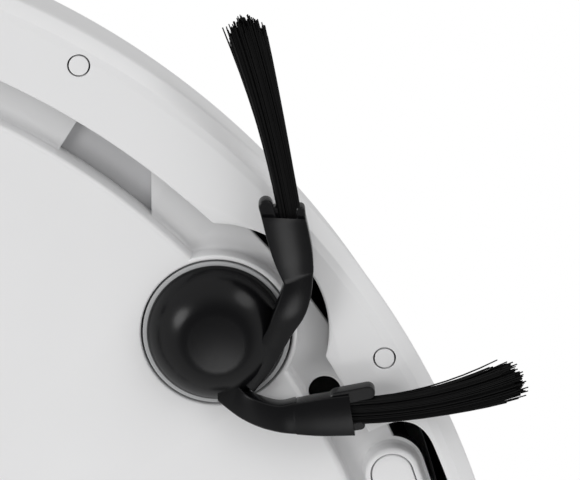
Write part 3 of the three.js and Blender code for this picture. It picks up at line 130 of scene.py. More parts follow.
def polar(radius, degrees):
    """A point at an angle from the front towards the right."""
    a = math.radians(degrees)
    return radius * math.sin(a), radius * math.cos(a)


def made(name, verts, faces):
    mesh = bpy.data.meshes.new(name)
    mesh.from_pydata([(x * MM, y * MM, z * MM) for x, y, z in verts], [], faces)
    ob = bpy.data.objects.new(name, mesh)
    bpy.context.scene.collection.objects.link(ob)
    tidy(ob)
    return ob


def tidy(ob, distance=0.002):
    bm = bmesh.new()
    bm.from_mesh(ob.data)
    bmesh.ops.remove_doubles(bm, verts=bm.verts, dist=distance * MM)
    bmesh.ops.dissolve_degenerate(bm, edges=bm.edges, dist=0.0005 * MM)
    bmesh.ops.recalc_face_normals(bm, faces=bm.faces)
    bm.to_mesh(ob.data)
    bm.free()


def turned(profile, sides=FINE, centre=(0, 0), name="turned"):
    """A closed profile of (radius, height) points turned about an upright axis."""
    verts, faces, rings = [], [], []
    for r, z in profile:
        if r < 1e-6:
            rings.append([len(verts)] * sides)
            verts.append((centre[0], centre[1], z))
        else:
            rings.append(list(range(len(verts), len(verts) + sides)))
            for k in range(sides):
                a = 2 * math.pi * k / sides
                verts.append((centre[0] + r * math.cos(a), centre[1] + r * math.sin(a), z))
    for i in range(len(rings)):
        low, high = rings[i], rings[(i + 1) % len(rings)]
        for k in range(sides):
            n = (k + 1) % sides
            face = [low[k], low[n], high[n], high[k]]
            face = [v for j, v in enumerate(face) if v not in face[:j]]
            if len(face) > 2:
                faces.append(face)
    return made(name, verts, faces)


def lofted(rings, name="lofted"):
    """Rings of equal numbers of points, joined in order and closed with flat ends."""
    n = len(rings[0])
    verts = [p for ring in rings for p in ring]
    faces = [list(range(n)), list(range(len(verts) - n, len(verts)))]
    for i in range(len(rings) - 1):
        for k in range(n):
            m = (k + 1) % n
            faces.append([i * n + k, i * n + m, (i + 1) * n + m, (i + 1) * n + k])
    return made(name, verts, faces)


def layered(outline, levels, name="layered"):
    """An outline that can be widened, stacked at (widening, height) levels."""
    return lofted([[(x, y, z) for x, y in outline(grow)] for grow, z in levels], name)


def block(xs, ys, zs, name="block"):
    ring = lambda z: [(xs[0], ys[0], z), (xs[1], ys[0], z), (xs[1], ys[1], z), (xs[0], ys[1], z)]
    return lofted([ring(zs[0]), ring(zs[1])], name)


def circle(radius, centre=(0, 0), n=96):
    def outline(grow):
        return [(centre[0] + (radius + grow) * math.cos(2 * math.pi * k / n),
                 centre[1] + (radius + grow) * math.sin(2 * math.pi * k / n)) for k in range(n)]
    return outline


def rounded_box(half_x, half_y, corner, centre=(0, 0), n=8):
    def outline(grow):
        points = []
        for quarter, (sx, sy) in enumerate(((1, 1), (-1, 1), (-1, -1), (1, -1))):
            for k in range(n + 1):
                a = math.pi / 2 * (quarter + k / n)
                points.append((centre[0] + sx * (half_x - corner) + (corner + grow) * math.cos(a),
                               centre[1] + sy * (half_y - corner) + (corner + grow) * math.sin(a)))
        return points
    return outline


def stadium(a, b, radius, n=24):
    """Two equal circles and the straight lines between them."""
    turn = math.atan2(b[1] - a[1], b[0] - a[0])

    def outline(grow):
        points = []
        for k in range(n + 1):
            angle = turn + math.pi / 2 + math.pi * k / n
            points.append((a[0] + (radius + grow) * math.cos(angle),
                           a[1] + (radius + grow) * math.sin(angle)))
        for k in range(n + 1):
            angle = turn - math.pi / 2 + math.pi * k / n
            points.append((b[0] + (radius + grow) * math.cos(angle),
                           b[1] + (radius + grow) * math.sin(angle)))
        return points
    return outline


def boolean(base, tool, operation):
    change = base.modifiers.new("change", "BOOLEAN")
    change.object = tool
    change.operation = operation
    change.solver = "MANIFOLD"
    bpy.context.view_layer.update()
    graph = bpy.context.evaluated_depsgraph_get()
    mesh = bpy.data.meshes.new_from_object(base.evaluated_get(graph))
    base.modifiers.clear()
    old = base.data
    base.data = mesh
    bpy.data.meshes.remove(old)
    bpy.data.objects.remove(tool)
    if len(mesh.polygons) == 0:
        raise RuntimeError(f"nothing is left of {base.name}")
    return base


def cut(base, *tools):
    for tool in tools:
        boolean(base, tool, "DIFFERENCE")
    return base


def join(base, *tools):
    for tool in tools:
        boolean(base, tool, "UNION")
    return base


def meet(base, tool):
    return boolean(base, tool, "INTERSECT")


def smooth(ob, degrees=32):
    ob.data.shade_smooth()
    ob.data.set_sharp_from_angle(angle=math.radians(degrees))


def arc(centre, radius, from_degrees, to_degrees, steps=6):
    """Profile points on an arc in the (radius, height) plane."""
    points = []
    for k in range(steps + 1):
        a = math.radians(from_degrees + (to_degrees - from_degrees) * k / steps)
        points.append((centre[0] + radius * math.cos(a), centre[1] + radius * math.sin(a)))
    return points


def hole(outline, face_z, end_z, rounding=0.4):
    """A cutter whose mouth is rounded over at face_z; it goes on to end_z."""
    up = 1 if end_z > face_z else -1
    levels = [(rounding, face_z - up * 1.0)]
    for k in range(5):
        a = math.pi / 2 * k / 4
        levels.append((rounding * (1 - math.sin(a)), face_z + up * rounding * (1 - math.cos(a))))
    levels.append((0, end_z))
    return layered(outline, levels)


def raised(outline, face_z, end_z, rounding=0.5):
    """A body whose edge is rounded at face_z; it goes on to end_z."""
    up = 1 if end_z > face_z else -1
    levels = []
    for k in range(5):
        a = math.pi / 2 * k / 4
        levels.append((-rounding * (1 - math.sin(a)), face_z + up * rounding * (1 - math.cos(a))))
    levels.append((0, end_z))
    return layered(outline, levels)


# ---- outer wall ----


def bezier(t):
    p0 = (SHOULDER_RADIUS, SHOULDER_Z)
    p1 = (SHOULDER_RADIUS - WALL_LEAN * (BODY_TOP - SHOULDER_Z), BODY_TOP)
    p2 = (TOP_EDGE_RADIUS, BODY_TOP)
    at = [(1 - t) ** 2 * a + 2 * t * (1 - t) * b + t * t * c for a, b, c in zip(p0, p1, p2)]
    along = [2 * (1 - t) * (b - a) + 2 * t * (c - b) for a, b, c in zip(p0, p1, p2)]
    size = math.hypot(*along)
    return at, (along[0] / size, along[1] / size)


def shoulder(z, inset=0):
    t = 1 - math.sqrt(max(0.0, (BODY_TOP - z) / (BODY_TOP - SHOULDER_Z)))
    (r, h), (tx, tz) = bezier(t)
    return r - inset * tz, h + inset * tx


def wall_radius(z):
    return BODY_RADIUS - WALL_LEAN * (z - CLEARANCE - 3)


def foot():
    return [(FLANGE_FLAT_RADIUS, CLEARANCE), (170.75, 12.03), (172.1, 12.42), (172.2, 12.43), (172.3, 12.47),
            (172.45, 12.56), (174.6, 14.3), (174.8, 14.52), (174.93, 14.76), (BODY_RADIUS, 15.05)]


def upper_wall(top_z, inset, steps=8):
    points = [(wall_radius(z) - inset, z) for z in (20, 30)] if inset == 0 else []
    points.append((SHOULDER_RADIUS - inset, SHOULDER_Z))
    for k in range(1, steps + 1):
        points.append(shoulder(SHOULDER_Z + (top_z - SHOULDER_Z) * k / steps, inset))
    return points


def wall_ring(flange_inner, name):
    top = SPLIT_Z - 0.2
    inside = [(BODY_RADIUS - WALL - 1, CLEARANCE + FLANGE_THICKNESS), (BODY_RADIUS - WALL, CLEARANCE + 3.6)]
    inside += upper_wall(top, WALL)
    edge = [(flange_inner, CLEARANCE + FLANGE_THICKNESS)] + arc((flange_inner + 0.5, 12.5), 0.5, 180, 270, 4)
    return turned([*foot(), *upper_wall(top, 0), *reversed(inside), *edge], FINE, name=name)


def wall_core(inset, top_z):
    side = ([*foot()] if inset == 0 else
            [(BODY_RADIUS - inset - 1, CLEARANCE + FLANGE_THICKNESS), (BODY_RADIUS - inset, CLEARANCE + 3.6)])
    side += upper_wall(top_z, inset)
    return turned([(0, side[0][1]), *side, (0, side[-1][1])], FINE)


def wedge(a, b, heights):
    reach = 1.3 * BODY_RADIUS
    corners = [(0, 0), polar(reach, a), polar(reach, b)]
    return lofted([[(x, y, z) for x, y in corners] for z in heights])


# ---- bumper ----

PAD_CUT = (11, 25.6)
PAD_CUT_EDGE = 169.7
PAD_CUT_CORNER = 8.8
WINDOW_Z = (33.7, 46.3)
WINDOW_ANGLE = 24.2


def pad_cut_radius(degrees):
    """How far out the flange is cut away at an angle, near an oblong pad."""
    a = abs(degrees)
    near, far = PAD_CUT
    if not near < a < far:
        return 0
    turn = math.degrees(PAD_CUT_CORNER / PAD_CUT_EDGE)
    to_edge = min(a - near, far - a)
    if to_edge > turn:
        return PAD_CUT_EDGE
    s = 1 - math.sqrt(to_edge / turn)
    return PAD_CUT_EDGE - PAD_CUT_CORNER * s * s


def notch_radius(degrees):
    distance = math.hypot(*HUB)
    off = math.radians(degrees - HUB_ANGLE)
    inside = NOTCH_RADIUS ** 2 - (distance * math.sin(off)) ** 2
    return distance * math.cos(off) + math.sqrt(inside) if inside > 0 else 0


def relief_rise(radius, degrees):
    off = math.radians(degrees - HUB_ANGLE)
    x, y = radius * math.sin(off), radius * math.cos(off) - RELIEF_MIDDLE
    inwards = (RELIEF_RADIUS - math.hypot(x, y)) / 6.5
    return 1.5 * min(1.0, max(0.0, inwards))


def bumper_section(degrees):
    inner = max(FLANGE_INNER_RADIUS, notch_radius(degrees), pad_cut_radius(degrees))
    edge = 0.45
    face = lambda r: CLEARANCE + relief_rise(r, degrees)
    low = face(inner)
    points = [(inner, CLEARANCE + FLANGE_THICKNESS)]
    for k in range(5):
        a = math.pi / 2 * k / 4
        points.append((inner + edge * (1 - math.cos(a)), low + edge * (1 - math.sin(a))))
    count = 24
    for k in range(1, count):
        r = inner + edge + (FLANGE_FLAT_RADIUS - inner - edge) * k / count
        points.append((r, face(r)))
    points += foot()
    points += [(wall_radius(20), 20), (wall_radius(30), 30)]
    depth = 1.5 if abs(degrees) < WINDOW_ANGLE else 0
    for z, d in ((WINDOW_Z[0], 0), (WINDOW_Z[0], depth), (WINDOW_Z[1], depth), (WINDOW_Z[1], 0)):
        points.append((wall_radius(z) - d, z))
    points += upper_wall(SPLIT_Z - 0.2, 0)[2:]
    top = points.pop()
    points += [(top[0] + 0.25, top[1] - 0.35), (top[0] - 0.3, top[1])]
    inside = [(BODY_RADIUS - WALL - 1, CLEARANCE + FLANGE_THICKNESS), (BODY_RADIUS - WALL, CLEARANCE + 3.6)]
    points += reversed(inside + upper_wall(SPLIT_Z - 0.2, WALL))
    return points


def bumper():
    angles = {a / 2 for a in range(-180, 181)}
    for edge in (*PAD_CUT, WINDOW_ANGLE):
        for side in (-1, 1):
            angles |= {side * edge - 0.004, side * edge + 0.004}
    for near, far in ((PAD_CUT[0], PAD_CUT[0] + 3.1), (PAD_CUT[1] - 3.1, PAD_CUT[1])):
        angles |= {s * (near + (far - near) * k / 20) for k in range(21) for s in (-1, 1)}
    angles |= {HUB_ANGLE - 10 + k / 8 for k in range(161)}
    verts, count = [], 0
    columns = sorted(angles)
    columns = [a for i, a in enumerate(columns) if i == 0 or a - columns[i - 1] > 1e-4]
    for a in columns:
        section = bumper_section(a)
        count = len(section)
        verts += [(*polar(r, a), z) for r, z in section]
    faces = [list(range(count)), list(range(len(verts) - count, len(verts)))]
    for i in range(len(columns) - 1):
        for k in range(count):
            m = (k + 1) % count
            faces.append([i * count + k, i * count + m, (i + 1) * count + m, (i + 1) * count + k])
    shell = made("bumper_moulding", verts, faces)
    for angle in PLUG_ANGLES:
        centre = polar(PLUG_DISTANCE, angle)
        cut(shell, hole(circle(PLUG_RADIUS + GAP, centre, 48), CLEARANCE, CLEARANCE + 3.5, 0.06))
    return shell


# ---- chassis ----


def pad_ends(side):
    distance, start = 159.5, 21.8
    span = math.degrees(19.5 / distance)
    return polar(distance, side * start), polar(distance, side * (start - span))


def pocket(side):
    end_y = polar(PLATE_RADIUS + 4.1, POCKET_ANGLES[0])[1]
    end_x = end_y * math.tan(math.radians(POCKET_ANGLES[1]))
    corners = [(0, 0), (side * end_x, end_y), (0, end_y)]
    z0, z1 = CHANNEL_Z - 1, CHANNEL_Z + WALL + 1
    ring = turned([(PLATE_RADIUS + 0.1, z0), (TUB_RADIUS - WALL - 0.1, z0), (TUB_RADIUS - WALL - 0.1, z1),
                   (PLATE_RADIUS + 0.1, z1)])
    return meet(ring, lofted([[(x, y, z) for x, y in corners] for z in (z0 - 1, z1 + 1)]))


def plate_hole(x, y, width, length):
    outline = rounded_box(width / 2 + GAP, length / 2 + GAP, 2 + GAP, (x, y))
    return hole(outline, CLEARANCE, PLATE_TOP + 1, 0.3)


def chassis():
    lip, root = 1.2, 0.8
    profile = [(0, CLEARANCE)]
    profile += arc((PLATE_RADIUS - lip, CLEARANCE + lip), lip, 270, 360, 8)
    profile += arc((PLATE_RADIUS + root, CHANNEL_Z - root), root, 180, 90, 5)
    profile += arc((TUB_RADIUS - 0.5, CHANNEL_Z + 0.5), 0.5, 270, 360, 4)
    profile += [(TUB_RADIUS, TUB_TOP), (TUB_RADIUS - WALL, TUB_TOP), (TUB_RADIUS - WALL, CHANNEL_Z + WALL),
                (PLATE_RADIUS - WALL, CHANNEL_Z + WALL), (PLATE_RADIUS - WALL, PLATE_TOP), (0, PLATE_TOP)]
    shell = turned(profile, 360, name="chassis_moulding")
    collar = [(0, CLEARANCE)] + arc((COLLAR_RADIUS - 0.5, CLEARANCE + 0.5), 0.5, 270, 360, 5)
    collar += arc((COLLAR_RADIUS + 0.9, CHANNEL_Z - 0.9), 0.9, 180, 90, 6)
    collar += [(COLLAR_RADIUS + 0.9, CHANNEL_Z + WALL), (0, CHANNEL_Z + WALL)]
    join(shell, turned(collar, 128, HUB))
    for side in (-1, 1):
        outer, inner = pad_ends(side)
        z = CLEARANCE + 0.1
        levels = [
            (-1.1, z), (-0.75, z + 0.08), (-0.4, z + 0.3), (-0.12, z + 0.7), (0, z + 1.1),
            (0, CHANNEL_Z - 1.2), (0.15, CHANNEL_Z - 0.6), (0.55, CHANNEL_Z - 0.15), (1.2, CHANNEL_Z),
            (1.2, CHANNEL_Z + WALL),
        ]
        join(shell, layered(stadium(outer, inner, PAD_RADIUS), levels))
    for place in POSTS:
        join(shell, layered(circle(POST_RADIUS, place, 24), [(0, PLATE_TOP - 1), (0, COVER_INSIDE - GAP)]))
    low, high = CLEARANCE, PLATE_TOP + 1
    for side in (-1, 1):
        middle = side * (97.0 + 135.0) / 2
        cut(shell, hole(rounded_box(19, 43, 3, (middle, WHEEL_Y)), low, high, 0.5))
        cut(shell, pocket(side))
        outer, inner = pad_ends(side)
        cut(shell, hole(stadium(outer, inner, PAD_CAP_RADIUS + GAP), CLEARANCE + 0.1, CLEARANCE + 2, 0.15))
        cut(shell, plate_hole(side * 34, -136.5, 22, 9), plate_hole(side * 36, 136.5, 20, 8))
    cut(
        shell,
        hole(rounded_box(88.4 + GAP, 29.5 + GAP, 4 + GAP, (0, BRUSH_Y)), low, high, 0.3),
        hole(circle(CASTER_HOLE_RADIUS, (0, CASTER_Y), 128), low, high, 0.6),
        hole(rounded_box(50 + GAP, 38 + GAP, 5 + GAP, (0, 38)), low, high, 0.3),
        block((-82, 82), (-BODY_RADIUS, BIN_FRONT), (BIN_Z[0] - GAP, TUB_TOP + 1)),
        hole(circle(HUB_HOLE_RADIUS, HUB, 128), low, CHANNEL_Z + WALL + 1, 0.4),
        hole(circle(CHANNEL_HOLE[2], polar(*CHANNEL_HOLE[:2]), 48), CHANNEL_Z, CHANNEL_Z + WALL + 1, 0.25),
    )
    return shell


# ---- rear shell, top cover, turret ----


def rear_shell():
    ring = wall_ring(PLATE_RADIUS + 0.7, "rear_moulding")
    half = 78 + GAP
    meet(ring, block((-180, 180), (-180, -3.4), (0, BODY_TOP)))
    cut(ring, block((-half, half), (-180, BIN_FRONT), (BIN_Z[0] - GAP, BODY_TOP)))
    for i in range(6):
        z = 43 - 5.2 * (2.5 - i)
        slot = wedge(-137, -124, (z - 1.3, z + 1.3))
        cut(slot, turned([(0, z - 5), (TUB_RADIUS, z - 5), (TUB_RADIUS, z + 5), (0, z + 5)]))
        cut(ring, slot)
    return ring


def top_cover():
    start = SPLIT_Z + 0.2
    outer = [shoulder(start + (BODY_TOP - start) * (1 - (1 - k / 16) ** 2)) for k in range(17)]
    inner = []
    for k in range(11):
        inner.append(shoulder(start + 0.6 + (BODY_TOP - start - 0.6) * (1 - (1 - k / 10) ** 2), WALL))
    first = outer[0]
    outer = [(first[0] - 0.35, first[1]), (first[0] - 0.02, first[1] + 0.3)] + outer[1:]
    cover = turned([*outer, (0, BODY_TOP), (0, COVER_INSIDE), *reversed(inner)], FINE, name="top_moulding")
    cut(cover, hole(circle(LASER_HOLE_RADIUS, (0, TURRET_Y), 96), BODY_TOP, COVER_INSIDE - 1, 0.3))
    for x in BUTTON_X:
        cut(cover, hole(circle(BUTTON_RADIUS + GAP, (x, BUTTON_Y), 64), BODY_TOP, COVER_INSIDE - 1, 0.4))
    # a shallow groove round the turret
    groove = [(58.2, BODY_TOP - 0.5), (59.0, BODY_TOP - 0.5), (59.2, BODY_TOP + 1), (58.0, BODY_TOP + 1)]
    cut(cover, turned(groove, FINE, (0, TURRET_Y)))
    return cover


def turret():
    z0 = BODY_TOP + GAP
    inner, outer = 38, 46
    ring = [(inner, z0)] + [(outer - 0.3, z0), (outer, z0 + 0.3)]
    ring += arc((outer - 0.5, z0 + 3.7), 0.5, 0, 90, 3) + [(inner, z0 + 4.2)]
    body = turned(ring, 160, (0, TURRET_Y), "turret_moulding")
    cap_z, top = z0 + 9.2, BODY_TOP + 15
    cap = [(0, cap_z), (outer - 0.4, cap_z), (outer, cap_z + 0.4)]
    cap += arc((outer - 3.2, top - 3.2), 3.2, 0, 90, 8)
    cap += [(0, top)]
    join(body, turned(cap, 160, (0, TURRET_Y)))
    for i in range(5):
        x, y = polar(42, i * 72 + 180)
        post = layered(circle(2.2, (x, y + TURRET_Y), 24), [(0, z0 + 3.7), (0, cap_z + 0.5)])
        join(body, post)
    return body


# ---- side brush ----


def spline(points, count):
    """Points on a Catmull-Rom curve through the given tuples."""
    padded = [[2 * a - b for a, b in zip(points[0], points[1])], *points,
              [2 * a - b for a, b in zip(points[-1], points[-2])]]
    result = []
    spans = len(points) - 1
    for k in range(count + 1):
        u = spans * k / count
        i = min(int(u), spans - 1)
        t = u - i
        p0, p1, p2, p3 = padded[i:i + 4]
        result.append([0.5 * (2 * b + (c - a) * t + (2 * a - 5 * b + 4 * c - d) * t * t
                              + (3 * b - a - 3 * c + d) * t ** 3) for a, b, c, d in zip(p0, p1, p2, p3)])
    return result


def arm(stations, count, corner=0.55):
    """A rounded bar between two lines. Each station: outer x, y, inner x, y, floor-side z, far z."""
    turns = (0, math.pi / 6, math.pi / 3, math.pi / 2)
    falling = [math.pi / 2 - a for a in turns]
    rings = []
    for ox, oy, ix, iy, low, high in spline(stations, count):
        o, i = Vector((ox, oy)), Vector((ix, iy))
        across = (o - i).normalized()
        ring = []
        for at, z, sx, sz in ((o, low, 1, -1), (o, high, 1, 1), (i, high, -1, 1), (i, low, -1, -1)):
            middle = at - across * corner * sx
            mz = z - sz * corner
            for a in turns if sx == sz else falling:
                place = middle + across * corner * sx * math.cos(a)
                ring.append((HUB[0] + place.x, HUB[1] + place.y, mz + sz * corner * math.sin(a)))
        rings.append(ring)
    return lofted(rings)


# outer x, y, inner x, y, floor-side z, far z, from the hub
ARM_1 = [
    (-11.6, 7.7, -7.5, 3.6, 7.8, 11.8),
    (-6.1, 11.5, -3.4, 6.4, 6.9, 11.6),
    (1.1, 15.3, 1.6, 9.9, 5.7, 10.6),
    (5.4, 17.9, 6.0, 11.6, 4.9, 9.4),
    (10.0, 19.3, 9.6, 12.9, 4.6, 8.9),
    (15.4, 19.8, 12.7, 13.8, 4.6, 8.8),
]
SLEEVE_1 = [
    (15.2, 19.8, 12.5, 13.8, 4.6, 8.8),
    (19.0, 19.6, 17.0, 11.9, 4.2, 8.8),
    (22.8, 19.0, 22.0, 10.4, 3.9, 8.6),
    (26.6, 18.2, 27.0, 9.2, 3.6, 8.5),
]
ARM_2 = [
    (-13.6, 0.2, -7.4, 2.2, 8.2, 11.8),
    (-16.6, 4.4, -10.9, 5.2, 7.0, 11.4),
    (-18.4, 8.6, -12.4, 7.9, 5.8, 10.6),
    (-19.3, 12.9, -13.4, 12.6, 4.9, 9.4),
    (-19.6, 16.6, -12.6, 16.2, 4.6, 8.9),
]
SLEEVE_2 = [
    (-19.6, 16.4, -13.0, 15.6, 4.6, 8.9),
    (-19.8, 20.4, -12.2, 19.2, 4.3, 8.8),
    (-19.7, 24.3, -11.4, 23.2, 4.0, 8.6),
    (-19.5, 28.3, -10.9, 26.9, 3.7, 8.5),
]
# two ends, floor-side z, far z, rounding
LUGS = [
    (((23.4, 11.6), (28.9, 10.1)), 4.6, 8.3, 1.45), (((25.0, 17.4), (28.0, 17.1)), 4.6, 8.3, 0.95),
    (((25.0, 12.2), (27.4, 11.9)), 5.2, 8.2, 1.3), (((25.0, 16.3), (27.4, 16.0)), 5.2, 8.2, 1.3),
    (((25.0, 14.2), (27.4, 13.9)), 5.2, 8.2, 1.3),
    (((-11.9, 24.5), (-10.6, 30.9)), 4.6, 8.3, 1.45), (((-18.0, 27.0), (-17.6, 29.4)), 4.6, 8.3, 0.95),
    (((-13.4, 26.0), (-13.0, 28.4)), 5.2, 8.2, 1.3), (((-15.2, 26.0), (-14.8, 28.6)), 5.2, 8.2, 1.3),
    (((-17.0, 26.0), (-16.6, 28.6)), 5.2, 8.2, 1.3),
]


def tab(corners, low, high, rounding=1.3):
    """A flat lug of a sleeve's open end with a rounded free end, on (x, y) from the hub."""
    a, b = (Vector(c) for c in corners)
    outline = stadium((HUB[0] + a.x, HUB[1] + a.y), (HUB[0] + b.x, HUB[1] + b.y), rounding, 10)
    return layered(outline, [(-0.3, low), (-0.08, low + 0.12), (0, low + 0.4), (0, high - 0.4), (-0.3, high)])


def side_brush():
    z = CLEARANCE
    profile = [(0, z - 7), (5.6, z - 6.98), (6.9, z - 6.86), (7.9, z - 6.6), (9.2, z - 6.0), (10.6, z - 5.1),
               (11.9, z - 3.95), (12.9, z - 2.8), (13.6, z - 1.7), (14.05, z - 0.8), (14.25, z - 0.25),
               (14.3, z + 0.1), (14.1, z + 0.5), (12.6, z + 0.5), (12.4, z + 0.1), (4.5, z + 0.1),
               (4.5, z + 16.3), (0, z + 16.3)]
    hub = turned(profile, 128, HUB, "side_brush_moulding")
    join(hub, arm(ARM_1, 30), arm(SLEEVE_1, 12, 0.35), arm(ARM_2, 26), arm(SLEEVE_2, 12, 0.35))
    for corners, low, high, rounding in LUGS:
        join(hub, tab(corners, low, high, rounding))
    return hub


# ---- bristles ----


def filament(verts, faces, path, radius, sides=5):
    base = len(verts)
    n = len(path)
    for i, p in enumerate(path):
        ahead = (path[min(i + 1, n - 1)] - path[max(i - 1, 0)]).normalized()
        u = ahead.cross(Vector((0, 0, 1)))
        u = u.normalized() if u.length > 1e-6 else Vector((1, 0, 0))
        v = ahead.cross(u)
        r = radius * (1 if i < n - 1 else 0.75)
        for k in range(sides):
            a = 2 * math.pi * k / sides
            q = p + r * (u * math.cos(a) + v * math.sin(a))
            verts.append(tuple(q))
    for i in range(n - 1):
        for k in range(sides):
            m = (k + 1) % sides
            faces.append([base + i * sides + k, base + i * sides + m, base + (i + 1) * sides + m,
                          base + (i + 1) * sides + k])
    faces.append([base + k for k in range(sides)][::-1])
    faces.append([base + (n - 1) * sides + k for k in range(sides)])


def raw(name, verts, faces):
    mesh = bpy.data.meshes.new(name)
    mesh.from_pydata([(x * MM, y * MM, z * MM) for x, y, z in verts], [], faces)
    mesh.shade_smooth()
    ob = bpy.data.objects.new(name, mesh)
    bpy.context.scene.collection.objects.link(ob)
    return ob


def tuft(name, seed, root, control, tip, root_half, tip_half, count, strays, lean):
    """Filaments from a packed root to a fanned tip, with strays on the side that lean names.

    Half sizes are across in the plane, and upright.
    """
    rnd = random.Random(seed)
    verts, faces = [], []
    root, control, tip = (Vector(p) for p in (root, control, tip))
    along = (tip - control).normalized()
    across = Vector((-along.y, along.x, 0)).normalized()
    first = (control - root).normalized()
    first_across = Vector((-first.y, first.x, 0)).normalized()
    up = Vector((0, 0, 1))
    for i in range(count + strays):
        s = rnd.uniform(-1, 1)
        t = rnd.uniform(-1, 1)
        stray = i >= count
        spread = 1.0 + (rnd.uniform(0.05, 0.55) if stray else rnd.uniform(-0.06, 0.05))
        if stray:
            s = math.copysign(rnd.uniform(0.7, 1.0), lean if rnd.random() < 0.8 else -lean)
        length = rnd.uniform(0.945, 1.0) if not stray else rnd.uniform(0.86, 1.02)
        length *= 1 - 0.035 * abs(s)
        a = root + first_across * s * root_half[0] + up * t * root_half[1]
        c = tip + across * s * tip_half[0] * spread + up * t * tip_half[1]
        c += along * rnd.uniform(-1.4, 0.9)
        b = control + across * s * (root_half[0] * 0.62 + tip_half[0] * 0.30)
        b += up * t * (root_half[1] + tip_half[1]) / 2
        b += across * rnd.uniform(-0.12, 0.12)
        steps = 9
        path = []
        for k in range(steps + 1):
            u = length * k / steps
            path.append((1 - u) ** 2 * a + 2 * u * (1 - u) * b + u * u * c)
        for p in path:
            p.z = max(p.z, 0.9)
        placed = [Vector((HUB[0] + p.x, HUB[1] + p.y, p.z)) for p in path]
        filament(verts, faces, placed, rnd.uniform(0.15, 0.19))
    return raw(name, verts, faces)


# ---- dustbin, wheels, brush and caster ----


def along_x(ob, place):
    """What was built upright comes to lie along X, at a place in millimetres."""
    turn = Matrix(((0, 0, 1, 0), (1, 0, 0, 0), (0, 1, 0, 0), (0, 0, 0, 1)))
    ob.data.transform(Matrix.Translation(Vector(place) * MM) @ turn)
    return ob


def dustbin():
    low, high = BIN_Z
    mouth = [BRUSH_Z + 3, BRUSH_Z + 20]
    release = high - RELEASE_DROP
    body = meet(wall_core(0, high - 0.01), block((-BIN_HALF, BIN_HALF), (-180, BIN_FRONT), (low, high)))
    room = meet(wall_core(BIN_WALL, high - BIN_WALL),
                block((-BIN_HALF + BIN_WALL, BIN_HALF - BIN_WALL), (-180, BIN_FRONT - BIN_WALL),
                      (low + BIN_WALL, high)))
    cut(
        body,
        room,
        block((-DUST_MOUTH_HALF, DUST_MOUTH_HALF), (BIN_FRONT - BIN_WALL - 1, BIN_FRONT + 1), mouth),
        block((-BIN_HALF - 1, -BIN_HALF + BIN_WALL + 1), (-100, -76), (34, 52)),
        block((-RELEASE_HALF - GAP, RELEASE_HALF + GAP), (-180, -145),
              (release - RELEASE_HALF_HEIGHT - GAP, release + RELEASE_HALF_HEIGHT + GAP)),
    )
    body.name = "dustbin_moulding"
    return body


def release_button():
    middle = BIN_Z[1] - RELEASE_DROP
    heights = (middle - RELEASE_HALF_HEIGHT, middle + RELEASE_HALF_HEIGHT)
    button = meet(wall_core(0, BIN_Z[1]), block((-RELEASE_HALF, RELEASE_HALF), (-180, -145), heights))
    cut(button, wall_core(6, BIN_Z[1] + 1))
    button.name = "release_button_moulding"
    return button


def lugged(radius, depth, count):
    """The outline of a tyre with sloping lugs; one lug points down when it lies along X."""
    def outline(grow):
        points = []
        for i in range(count):
            for share, drop in ((-0.42, depth), (-0.36, 0.75 * depth), (-0.30, 0.1 * depth), (-0.26, 0),
                                (0, 0), (0.26, 0), (0.30, 0.1 * depth), (0.36, 0.75 * depth), (0.42, depth)):
                a = 2 * math.pi * (i + share) / count - math.pi / 2
                r = radius - drop + grow
                points.append((r * math.cos(a), r * math.sin(a)))
        return points
    return outline


def tyre(side):
    half = WHEEL_WIDTH / 2
    levels = [(-2.4, -half), (-1.1, -half + 0.35), (-0.3, -half + 1.2), (0, -half + 2.4),
              (0, half - 2.4), (-0.3, half - 1.2), (-1.1, half - 0.35), (-2.4, half)]
    body = layered(lugged(WHEEL_RADIUS, 1.8, 20), levels, f"tyre_{side}")
    cut(body, layered(circle(RIM_RADIUS + GAP, n=96), [(0, -half - 1), (0, half + 1)]))
    return along_x(body, (side * WHEEL_X, WHEEL_Y, WHEEL_RADIUS))


def wheel_hub(side):
    """A dished wheel with six ribs on its outer face, and the axle on its inner one."""
    half = WHEEL_WIDTH / 2
    out = lambda x: side * x
    profile = [(0, out(half - 1.6)), (7.4, out(half - 1.6)), (8, out(half - 2.2)), (8, out(half - 4)),
               (RIM_RADIUS - 4, out(half - 4)), (RIM_RADIUS - 3.6, out(half - 1.2)),
               (RIM_RADIUS - 0.4, out(half - 1)), (RIM_RADIUS, out(half - 1.4)),
               (RIM_RADIUS, out(-half + 1.4)), (RIM_RADIUS - 0.4, out(-half + 1)),
               (RIM_RADIUS - 4, out(-half + 1)), (RIM_RADIUS - 4, out(-half + 4)), (4, out(-half + 4)),
               (4, out(-half - 9.4)), (0, out(-half - 9.4))]
    hub = turned(profile, 96, name=f"wheel_hub_{side}")
    for i in range(6):
        a = math.radians(60 * i)
        u, v = Vector((math.cos(a), math.sin(a))), Vector((-math.sin(a), math.cos(a)))
        corners = [u * 6.5 + v * 1.6, u * 23.5 + v * 1.2, u * 23.5 - v * 1.2, u * 6.5 - v * 1.6]
        rib = lofted([[(p.x, p.y, z) for p in corners] for z in sorted((out(half - 4.5), out(half - 2.2)))])
        join(hub, rib)
    return along_x(hub, (side * WHEEL_X, WHEEL_Y, WHEEL_RADIUS))


def twist(x):
    """How far the roller's rows have turned at a place along it, the opposite way on each half."""
    return math.radians(70) * abs(x) / BRUSH_HALF


